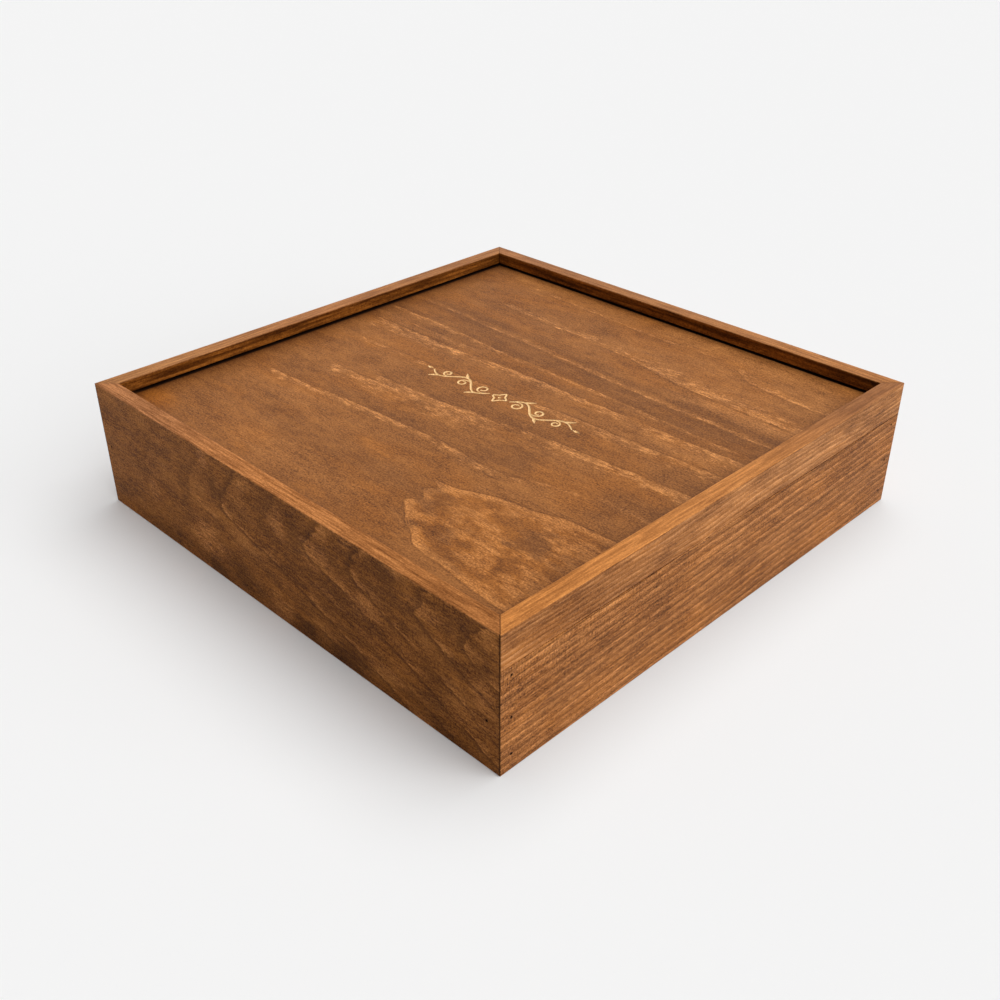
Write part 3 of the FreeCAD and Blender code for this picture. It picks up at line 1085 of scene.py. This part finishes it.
    def _streaks(self, paint: BoardPaint, across: Signal) -> tuple[Signal, Signal]:
        """Every light band, broken into patches and threads, and the dark line beside it.

        Args:
            paint: The material to build in.
            across: Place across the grain, with its sway.

        Returns:
            How much light and how much dark wood shows.
        """
        lights, darks = [], []
        for streak in self.streaks:
            offset = across - paint.curve(paint.along, streak.edge)
            band = paint.effect(
                paint.effects.streak, Offset=-offset if streak.width > 0 else offset,
                Width=abs(streak.width), Along=paint.along, Start=streak.edge[0][0],
                End=streak.edge[-1][0],
            )
            if streak.strength:
                lights.append(band["Light"] * streak.strength)
                darks.append(band["Outline"] * (streak.strength * 0.6))
            if streak.shade:
                darks.append(band["Shade"] * (streak.shade * 0.75))
        return self._fibrous(paint, paint.highest(*lights)) * 0.9, paint.highest(*darks)

    def _fibrous(self, paint: BoardPaint, light: Signal, fray: float = 2.2) -> Signal:
        """Break a light area into short fibres, so that its soft side frays.

        Args:
            paint: The material to build in.
            light: The area.
            fray: How far it frays.

        Returns:
            The area in fibres.
        """
        patches = paint.pattern((10, 4, 4), 3, detail=4, roughness=0.65)
        fibres = paint.pattern((5, 0.9, 0.9), 4, detail=4, roughness=0.65)
        frayed = light + (patches - 0.5) * fray + (fibres - 0.5) * fray
        return frayed.step(0.25, 1.25) * light.step(0.0, 0.3)

    def _arch(self, paint: BoardPaint, ragged: Signal) -> tuple[Signal, Signal, Signal]:
        """The cathedral arch at the left of the front.

        Args:
            paint: The material to build in.
            ragged: Sway of its edge.

        Returns:
            How much light and how much dark wood shows, and the inside of the arch.
        """
        from_left = paint.depth - paint.curve(paint.along, self.arch_left)
        from_right = paint.curve(paint.along, self.arch_right) - paint.depth
        from_top = paint.along - paint.curve(paint.depth, self.arch_top)
        inside = paint.lowest(from_left, from_right, from_top * 0.6) + ragged * 0.5
        body = inside.step(-0.1, 0.5)
        streaks = paint.pattern((12, 1.4, 1.4), 6, detail=4, roughness=0.65)
        clouds = paint.pattern((20, 12, 12), 7, detail=4, roughness=0.6)
        fill = streaks.step(0.3, 0.65, 0.6, 1.0) * clouds.step(0.42, 0.60, 1.0, 0.3)
        light = self._fibrous(paint, body * paint.highest(fill, inside.fade(2.0, 9.0)), fray=1.4)
        outline = inside.fade(-0.4, 0.0) * inside.step(-1.6, -0.5)
        dark = paint.highest(outline * 0.5, body * clouds.step(0.48, 0.64) * 0.5)
        return light * 0.5, dark, body

    def _edges(self, paint: BoardPaint, colour: Signal) -> Signal:
        """Lay the stain pooling at the back with painted shade, and the painted shade at the edges, over
        a colour.

        Args:
            paint: The material to build in.
            colour: The panel's colour.

        Returns:
            The colour with its edges.
        """
        along, across, stain = paint.along, paint.depth, self.palette
        # Stain pooling and painted shade along the back, where the back wall stands over the panel.
        from_back = along - THICKNESS
        pooled_stain_and_shade = paint.math("EXPONENT", from_back * (-1 / self.pool_reach)) * 0.9
        colour = paint.mix(paint.lowest(pooled_stain_and_shade, 0.9), colour, stain.inner_dark)
        # Painted shade on the margins that run in the grooves, near black.
        margin = paint.lowest(from_back * 0.4, across - THICKNESS, (RUN - THICKNESS) - across)
        colour = paint.mix(margin.fade(0.1, 0.7), colour, stain.seam)
        # Painted shade along the left wall and the rail, which stand over the panel.
        off_lines = (across - self.rubbed_line, (RUN - self.rubbed_line) - along)
        near_walls = [paint.math("EXPONENT", offset * (-1 / self.rubbed_reach)) for offset in off_lines]
        wall_shade = paint.lowest(paint.highest(*near_walls) * 0.45, 0.5)
        return paint.mix(wall_shade, colour, stain.dark)

    def _plies(self, paint: BoardPaint, colour: Signal) -> Signal:
        """Lay three plies on the panel's narrow sides: the middle one is end grain, and darker.

        Args:
            paint: The material to build in.
            colour: The panel's colour.

        Returns:
            The colour with the plies.
        """
        low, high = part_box("lid_panel")
        ply = (high.z - low.z) / 3 / MM
        normal = paint.result("ShaderNodeNewGeometry", {}, "Normal")
        narrow = abs(paint.axes(normal)[2]).fade(0.3, 0.6)
        middle = abs(paint.up - low.z / MM - ply * 1.5).fade(ply * 0.45, ply * 0.55)
        return paint.mix(narrow * middle * 0.8, colour, self.palette.dark)


@dataclass(frozen=True)
class CarvedFinish(Finish):
    """Bare pale wood in the floor of a carved line."""

    name: str = "carved_bare_wood"
    side: BoardSide = BoardSide.LEFT
    seed: float = 61.0
    pale: Colour = (252, 216, 158)
    toasted: Colour = (228, 182, 120)

    def lay(self, paint: BoardPaint) -> dict[str, object]:
        """Lay the finish.

        Args:
            paint: The material to build in.

        Returns:
            The inputs of the Principled BSDF.
        """
        fibre = paint.pattern((4, 0.5, 0.5), 0, detail=3)
        return {"Base_Color": paint.mix(fibre.step(0.35, 0.7), self.pale, self.toasted),
                "Normal": paint.bump(fibre, 0.05 * MM), "Roughness": 0.7}


@dataclass(frozen=True)
class WireFinish(Finish):
    """Dull drawn steel wire, darkened by the stain."""

    name: str = "dull_steel_wire"
    side: BoardSide = BoardSide.FRONT
    seed: float = 71.0
    bright: Colour = (84, 76, 68)
    dulled: Colour = (34, 24, 16)

    def lay(self, paint: BoardPaint) -> dict[str, object]:
        """Lay the finish.

        Args:
            paint: The material to build in.

        Returns:
            The inputs of the Principled BSDF.
        """
        stained = paint.pattern((0.6, 0.6, 0.6), 0, detail=3).step(0.35, 0.6)
        return {"Base_Color": paint.mix(stained, self.bright, self.dulled),
                "Roughness": 0.35 + stained * 0.3, "Metallic": stained.step(0.0, 1.0, 1.0, 0.4)}


# ---------------------------------------------------------------- the case
def dress(node: str, material: bpy.types.Material) -> None:
    """Give a CAD node's object one material.

    Args:
        node: The node's name.
        material: What it wears.
    """
    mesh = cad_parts[node].data
    mesh.materials.clear()
    mesh.materials.append(material)
    log.info("%s wears %s", node, material.name)


@dataclass
class Case:
    """The four boards, the bottom panel and the brads, which stay where they are."""

    effects: WoodEffects
    boards: dict[str, BoardFinish] = field(default_factory=lambda: {
        "front_wall": QuarterSawnFinish(
            "stained_front_board", BoardSide.FRONT, seed=11,
            figure=RingFigure(advance=0.026, spacing=4.7, rise=0.3, sway=2.2, ripple=0.35),
            palette=StainPalette(ground=(139, 86, 43)),
            texture=Texture(cloud=0.20, patch=0.12, streak=0.24, thread=0.30, mottle=0.58, pore=0.6),
            latewood=0.85, outline=0.65, fine_rings=0.35, chatter=0.3, bounce_share=0.3,
        ),
        "left_wall": CrownBoardFinish(
            "stained_left_board", BoardSide.LEFT, seed=23,
            figure=RingFigure(heart_round=2.5, flank=1.7, skew=-0.9, advance=1.0, depth_gain=1.5,
                              spacing=40, sway=7, ripple=6),
            texture=Texture(cloud=0.21, patch=0.18, streak=0.20, thread=0.34, mottle=0.66, pore=0.8,
                            amber=0.4),
            # A darker stain than on the other boards: painted shade, for the shade this side of the box
            # is in.
            palette=StainPalette(ground=(122, 73, 30), dark=(72, 38, 12), light=(181, 115, 58),
                                 amber=(146, 87, 33), rim=(164, 107, 65), rim_middle=(182, 117, 65),
                                 rim_far=(157, 98, 51)),
            latewood=0.8, outline=0.9, rim_lines=0.75, gloss=0.045, pale_start=0.28, end_shade=0.75,
        ),
        "right_wall": BoardFinish(
            "stained_right_board", BoardSide.RIGHT, seed=35,
            figure=RingFigure(heart_height=30, heart_round=6, flank=0.6, skew=0.2, advance=0.15,
                              depth_gain=0.3, spacing=7.0, rise=0.35, sway=6.0, ripple=1.2),
            palette=StainPalette(rim=(184, 122, 70), rim_middle=(168, 112, 67), rim_far=(158, 104, 64)),
            texture=Texture(mottle=0.45),
        ),
        "back_wall": BoardFinish(
            "stained_back_board", BoardSide.BACK, seed=47,
            figure=RingFigure(heart_height=45, heart_round=8, flank=0.7, skew=0.1, advance=-0.12,
                              depth_gain=0.3, spacing=6.0, rise=0.35, sway=5.0, ripple=1.2),
            texture=Texture(cloud=0.12, patch=0.12, mottle=0.40),
        ),
        "bottom_panel": BoardFinish(
            "stained_bottom_panel", BoardSide.LEFT, seed=59,
            figure=RingFigure(heart_height=-300, flank=0.2, advance=0.02, depth_gain=1.0, spacing=11.0,
                              rise=0.3, sway=9.0, ripple=1.0),
            inner_share=0.4,
        ),
    })
    wire: WireFinish = WireFinish()

    def build(self) -> None:
        """Dress every piece of the case."""
        for node, finish in self.boards.items():
            dress(node, finish.build(self.effects))
        wire = self.wire.build(self.effects)
        for node in brad_nodes():
            dress(node, wire)


# ---------------------------------------------------------------- the lid
@dataclass(frozen=True)
class Ornament:
    """A scroll ornament for the middle of the lid, in millimetres.

    It lies along the grain and is the same to both sides of its middle. A stem waves out from a
    lozenge, a volute curls into each hollow of the wave, and a leaf springs from each crest. Widths
    are shares of a full stroke: at its start, in its middle and at its end.
    """

    half_length: float = 63.0
    stem_start: float = 8.0
    stem_end: float = 57.0
    half_waves: int = 3
    wave_height: float = 6.0
    wave_taper: float = 0.35            # share of the height lost at the end of the stem
    volute_place: float = 0.04          # share of its hollow at which a volute leaves the stem
    volute_turn: float = 7.9            # radians that a volute turns through
    volute_bends: Point = (0.10, 0.50)
    volute_widths: tuple[float, float, float] = (0.5, 0.85, 0.7)
    leaf_place: float = 0.42
    leaf_splay: float = 0.3             # radians off the stem
    leaf_length: float = 7.6
    leaf_bend: float = 0.12
    leaf_widths: tuple[float, float, float] = (0.4, 1.3, 0.15)
    bud_gap: float = 0.8
    bud_widths: tuple[float, float, float] = (0.3, 1.5, 0.2)
    lozenge_corners: tuple[Point, ...] = ((5.8, 0.0), (0.0, 6.4), (-5.8, 0.0), (0.0, -6.4))
    lozenge_hollow: float = 0.26        # share by which its sides bow inwards
    lozenge_width: float = 0.8
    side_steps: int = 8
    drop_half_length: float = 1.1
    stroke: float = 0.80                # half the width of a full stroke, at the tool's axis
    step: float = 0.5

    def strokes(self) -> list[Stroke]:
        """Draw the ornament.

        Returns:
            Every stroke as (along, across, half width) points.
        """
        half = [self._stem(), self._bud()]
        for number in range(self.half_waves):
            half += [self._volute(number), self._leaf(number)]
        mirrored = [[(-along, -across, wide) for along, across, wide in stroke] for stroke in half]
        return half + mirrored + self._lozenge() + [self._drop()]

    @property
    def _stem_length(self) -> float:
        """Length of the stem along the lid."""
        return self.stem_end - self.stem_start

    @property
    def _half_wave(self) -> float:
        """Length of one hollow of the stem."""
        return self._stem_length / self.half_waves

    def _height(self, along: float) -> float:
        """Height of the stem's wave at a distance from the middle."""
        return self.wave_height * (1 - self.wave_taper * (along - self.stem_start) / self._stem_length)

    def _wave(self, along: float) -> Point:
        """Follow the stem.

        Args:
            along: Distance from the middle.

        Returns:
            Place of the stem across the lid, and its direction in radians.
        """
        turn = math.pi * (along - self.stem_start) / self._half_wave
        slope = self._height(along) * math.cos(turn) * math.pi / self._half_wave
        return self._height(along) * math.sin(turn), math.atan(slope)

    def _stem(self) -> Stroke:
        """The waving stem, thinner at both ends.

        Returns:
            The stroke.
        """
        count = round(self._stem_length / self.step)
        points = []
        for number in range(count + 1):
            share = number / count
            along = self.stem_start + share * self._stem_length
            swell = 0.5 + 0.5 * math.sin(math.pi * share) ** 0.5
            points.append((along, self._wave(along)[0], self.stroke * swell))
        return points

    def _path(self, start: Point, heading: float, length: float, bends: Point,
              widths: tuple[float, float, float]) -> Stroke:
        """A stroke whose bend changes evenly along its length.

        Args:
            start: First point.
            heading: Direction at the start, in radians from the long axis.
            length: Length of the stroke.
            bends: Curvature at the start and at the end, positive to the left.
            widths: Shares of a full stroke's width at the start, in the middle and at the end.

        Returns:
            The stroke.
        """
        count = round(length / self.step)
        (along, across), (first, middle, last) = start, widths
        points = []
        for number in range(count + 1):
            share = number / count
            wide = first + 2 * share * (middle - first)
            if share > 0.5:
                wide = middle + (2 * share - 1) * (last - middle)
            points.append((along, across, self.stroke * wide))
            heading += (bends[0] + share * (bends[1] - bends[0])) * self.step
            along += self.step * math.cos(heading)
            across += self.step * math.sin(heading)
        return points

    def _volute(self, number: int) -> Stroke:
        """A volute, which leaves the stem along its own direction.

        Args:
            number: The hollow that it curls into, from the middle.

        Returns:
            The stroke.
        """
        along = self.stem_start + self._half_wave * (number + self.volute_place)
        across, heading = self._wave(along)
        tight = (1 if number % 2 else -1) * self.wave_height / self._height(along)
        bends = (self.volute_bends[0] * tight, self.volute_bends[1] * tight)
        length = self.volute_turn / abs(sum(bends) / 2)
        return self._path((along, across), heading, length, bends, self.volute_widths)

    def _leaf(self, number: int) -> Stroke:
        """A leaf, which springs outwards just before a crest.

        Args:
            number: The crest, from the middle.

        Returns:
            The stroke.
        """
        along = self.stem_start + self._half_wave * (number + self.leaf_place)
        across, heading = self._wave(along)
        way = -1 if number % 2 else 1
        return self._path((along, across), heading + way * self.leaf_splay, self.leaf_length,
                          (0.0, way * self.leaf_bend), self.leaf_widths)

    def _bud(self) -> Stroke:
        """The drop past the end of the stem."""
        start = self.stem_end + self.bud_gap
        return self._path((start, 0.0), 0.0, self.half_length - start, (0.0, 0.0), self.bud_widths)

    def _lozenge(self) -> list[Stroke]:
        """The lozenge in the middle, with hollow sides.

        Returns:
            A stroke for each side.
        """
        corners = self.lozenge_corners
        sides = []
        for start, end in zip(corners, corners[1:] + corners[:1]):
            points = []
            for index in range(self.side_steps + 1):
                share = index / self.side_steps
                bow = 1 - self.lozenge_hollow * (1 - abs(2 * share - 1))
                along, across = ((first + share * (last - first)) * bow
                                 for first, last in zip(start, end))
                points.append((along, across, self.stroke * self.lozenge_width))
            sides.append(points)
        return sides

    def _drop(self) -> Stroke:
        """The small drop inside the lozenge."""
        return [(-self.drop_half_length, 0.0, self.stroke * 0.5), (0.0, 0.0, self.stroke * 1.5),
                (self.drop_half_length, 0.0, self.stroke * 0.5)]


class CarvingTree(GroupGraph):
    """The Geometry Nodes that carve strokes into the face of a panel."""

    def __init__(self) -> None:
        """Sweep a round tool along the strokes, cut it out of the panel and dress both surfaces."""
        super().__init__("carved_strokes", {
            "Geometry": "NodeSocketGeometry", "Strokes": "NodeSocketObject",
            "Tool Sides": "NodeSocketInt", "Face Height": 0.0, "Field Half Length": 0.0,
            "Field Half Width": 0.0, "Panel Finish": "NodeSocketMaterial",
            "Carved Finish": "NodeSocketMaterial",
        }, "GeometryNodeTree")
        panel, strokes, tool_sides, face, half_length, half_width, stained, bare = self.given
        tool = {"Resolution": tool_sides, "Radius": 1.0}
        swept = self.result("GeometryNodeCurveToMesh", {
            "Curve": self.result("GeometryNodeObjectInfo", {"Object": strokes}, "Geometry"),
            "Profile Curve": self.result("GeometryNodeCurvePrimitiveCircle", tool),
            "Scale": self.result("GeometryNodeInputRadius", {}), "Fill Caps": True,
        })
        cut = self.result("GeometryNodeMeshBoolean", {
            "Mesh 1": panel, "Mesh 2": swept, "Self Intersection": True,
        }, operation="DIFFERENCE", solver="EXACT")

        across, along, up = self.axes(self.result("GeometryNodeInputPosition", {}))
        facing = self.axes(self.result("GeometryNodeInputNormal", {}))[2]
        in_field = self._both(self._below(abs(across), half_width), self._below(abs(along), half_length))
        sunk = self._both(self._below(up, face), self._below(0.0, facing))
        real = self.result("GeometryNodeRealizeInstances", {"Geometry": cut})
        wood = self.result("GeometryNodeSetMaterial", {"Geometry": real, "Material": stained})
        carved = self.result("GeometryNodeSetMaterial", {
            "Geometry": wood, "Selection": self._both(in_field, sunk), "Material": bare,
        })
        self.give("Geometry", carved, "NodeSocketGeometry")

    def _below(self, value: Value, limit: Value) -> Signal:
        """True where the value is under the limit."""
        return self.result("FunctionNodeCompare", {0: value, 1: limit}, operation="LESS_THAN")

    def _both(self, first: Signal, second: Signal) -> Signal:
        """True where both are."""
        return self.result("FunctionNodeBooleanMath", {0: first, 1: second}, operation="AND")

    def apply(self, piece: bpy.types.Object, **inputs: object) -> None:
        """Carve a piece and keep the result as its plain mesh.

        Args:
            piece: Object whose mesh is carved.
            inputs: Value of each named input, with underscores for spaces.
        """
        modifier = piece.modifiers.new("carving", "NODES")
        modifier.node_group = self.tree
        for label, value in spaced(inputs).items():
            modifier[self.identifiers[label]] = value
        graph = bpy.context.evaluated_depsgraph_get()
        graph.update()
        carved = bpy.data.meshes.new_from_object(piece.evaluated_get(graph))
        piece.modifiers.clear()
        plain = piece.data
        piece.data = carved
        carved.name = piece.name
        bpy.data.meshes.remove(plain)


@dataclass
class Lid:
    """The rail and the panel, which slide out together."""

    effects: WoodEffects
    ornament: Ornament = Ornament()
    groove_lift: float = 0.15 * MM      # the round tool's axis above the panel's face
    arris: float = 0.3 * MM
    tool_sides: int = 10
    field_margin: float = 3 * MM        # past the ends of the ornament
    field_half_width: float = 12 * MM
    face_slack: float = 0.001 * MM      # how far under the face a carved surface starts
    rail: BoardFinish = QuarterSawnFinish(
        "stained_rail", BoardSide.FRONT, seed=83,
        figure=RingFigure(heart_height=-300, advance=0.015, depth_gain=0.9, spacing=3.0, rise=0.2,
                          sway=5.0, ripple=0.45),
        palette=StainPalette(ground=(143, 88, 43), dark=(108, 64, 30), light=(206, 146, 93),
                             rim=(202, 130, 66), rim_middle=(194, 126, 67), rim_far=(154, 100, 59)),
        texture=Texture(cloud=0.20, patch=0.18, streak=0.28, thread=0.18, mottle=0.36, pore=0.3),
        latewood=0.5, outline=0.35, fine_rings=0.15, rim_lines=0.46, pale_end=0.18, arris=0.0,
        bounce_share=0.3,
    )
    panel: PanelFinish = PanelFinish()
    carving: CarvedFinish = CarvedFinish()

    def build(self) -> None:
        """Dress the rail and make the carved panel."""
        dress("lid_rail", self.rail.build(self.effects))
        panel = self._blank()
        strokes = self._strokes()
        CarvingTree().apply(
            panel, Strokes=strokes, Tool_Sides=self.tool_sides,
            Face_Height=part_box("lid_panel")[1].z - self.face_slack,
            Field_Half_Length=self.ornament.half_length * MM + self.field_margin,
            Field_Half_Width=self.field_half_width,
            Panel_Finish=self.panel.build(self.effects),
            Carved_Finish=self.carving.build(self.effects),
        )
        bpy.data.objects.remove(strokes)
        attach(panel, "lid")
        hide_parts("lid_panel")
        log.info("%s carved, %d faces", panel.name, len(panel.data.polygons))

    def _blank(self) -> bpy.types.Object:
        """The panel before it is carved, with its arrises eased.

        Returns:
            The panel's object.
        """
        low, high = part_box("lid_panel")
        place = Matrix.LocRotScale((low + high) / 2, None, high - low)
        shape = bmesh.new()
        bmesh.ops.create_cube(shape, size=1.0, matrix=place)
        bmesh.ops.bevel(shape, geom=shape.edges, offset=self.arris, segments=2, profile=0.5,
                        affect="EDGES")
        mesh = bpy.data.meshes.new("lid_panel_carved")
        shape.to_mesh(mesh)
        shape.free()
        return add_object("lid_panel_carved", mesh)

    def _strokes(self) -> bpy.types.Object:
        """The ornament's strokes as a curve just above the panel's face.

        Returns:
            The curve's object.
        """
        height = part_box("lid_panel")[1].z + self.groove_lift
        curve = bpy.data.curves.new("ornament_strokes", "CURVE")
        curve.dimensions = "3D"
        for stroke in self.ornament.strokes():
            spline = curve.splines.new("POLY")
            spline.points.add(len(stroke) - 1)
            for point, (along, across, wide) in zip(spline.points, stroke):
                point.co = (across * MM, -along * MM, height, 1.0)
                point.radius = wide * MM
        return add_object("ornament_strokes", curve)


# ---------------------------------------------------------------- the studio
@dataclass(frozen=True)
class SoftLamp:
    """A wide lamp far away, by the direction that its light comes from."""

    name: str
    place: tuple[float, float, float]
    strength: float
    spread: float           # degrees

    def build(self) -> None:
        """Hang the lamp."""
        lamp = bpy.data.lights.new(self.name, "SUN")
        lamp.energy = self.strength
        lamp.angle = math.radians(self.spread)
        turn = Vector(self.place).to_track_quat("Z", "Y")
        add_object(self.name, lamp).rotation_euler = turn.to_euler()


@dataclass(frozen=True)
class Studio:
    """White paper floor, a soft lamp overhead, a lower one in front, and the camera."""

    camera_place: tuple[float, float, float] = (-0.4335, -0.4329, 0.3759)
    camera_heading: float = 44.94       # degrees from +X towards +Y
    camera_dip: float = 31.55           # degrees below the horizon
    lens: float = 41.69                 # millimetres, on a 36 mm wide sensor
    paper: Colour = (244, 244, 244)
    floor_span: float = 16.0
    lamps: tuple[SoftLamp, ...] = (
        SoftLamp("overhead_lamp", (0.27, -0.05, 0.96), 1.88, 60.0),
        SoftLamp("front_lamp", (0.15, -0.85, 0.50), 1.66, 70.0),
    )
    sky_strength: float = 0.18
    shadow_share: float = 0.93          # the rest of what the camera sees of the floor is plain white

    def build(self) -> None:
        """Build the floor, the light and the camera."""
        bpy.context.scene.view_settings.view_transform = "Standard"
        self._floor()
        self._sky()
        for lamp in self.lamps:
            lamp.build()
        self._camera()

    def _floor(self) -> None:
        """A floor that shows the paper's white, with the box's shadow on it."""
        mesh = bpy.data.meshes.new("studio_floor")
        half = self.floor_span / 2
        corners = [(-half, -half, 0), (half, -half, 0), (half, half, 0), (-half, half, 0)]
        mesh.from_pydata(corners, [], [(0, 1, 2, 3)])
        floor = add_object("studio_floor", mesh)
        paper = MaterialGraph("studio_paper")
        white = to_linear(self.paper)
        matt = paper.wear(Base_Color=white, Roughness=0.9, Specular_IOR_Level=0.0)
        glow = paper.result("ShaderNodeEmission", {"Color": white, "Strength": 1.0})
        seen = paper.result("ShaderNodeLightPath", {}, "Is Camera Ray")
        inputs = {0: seen * (1 - self.shadow_share), 1: matt, 2: glow}
        surface = paper.result("ShaderNodeMixShader", inputs)
        paper.feed(paper.find("OUTPUT_MATERIAL").inputs["Surface"], surface)
        mesh.materials.append(paper.material)

    def _sky(self) -> None:
        """Even light all round, which the camera sees as the paper's white."""
        world = bpy.data.worlds.new("studio_sky")
        world.use_nodes = True
        bpy.context.scene.world = world
        sky = NodeGraph(world.node_tree)
        rays = sky.node("ShaderNodeLightPath", {}).outputs
        seen = sky.highest(*(Signal(sky, rays[f"Is {kind} Ray"])
                             for kind in ("Camera", "Glossy", "Transmission")))
        backdrop = sky.find("BACKGROUND").inputs
        sky.feed(backdrop["Color"], to_linear(self.paper))
        sky.feed(backdrop["Strength"], self.sky_strength + seen * (1 - self.sky_strength))

    def _camera(self) -> None:
        """The camera, upright and without shift."""
        lens = bpy.data.cameras.new("studio_camera")
        lens.lens = self.lens
        lens.clip_start = 0.01
        lens.clip_end = 100
        heading, dip = math.radians(self.camera_heading), math.radians(self.camera_dip)
        ahead = Vector((math.cos(heading) * math.cos(dip), math.sin(heading) * math.cos(dip),
                        -math.sin(dip)))
        camera = add_object("studio_camera", lens)
        camera.location = self.camera_place
        camera.rotation_euler = ahead.to_track_quat("-Z", "Y").to_euler()
        bpy.context.scene.camera = camera


def main() -> None:
    """Build every assembly in order, and report it."""
    logging.basicConfig(level=logging.INFO, format="%(name)s: %(message)s")
    effects = WoodEffects()
    Case(effects).build()
    Lid(effects).build()
    Studio().build()
    log.info("scene complete")


if __name__ == "__main__":
    main()
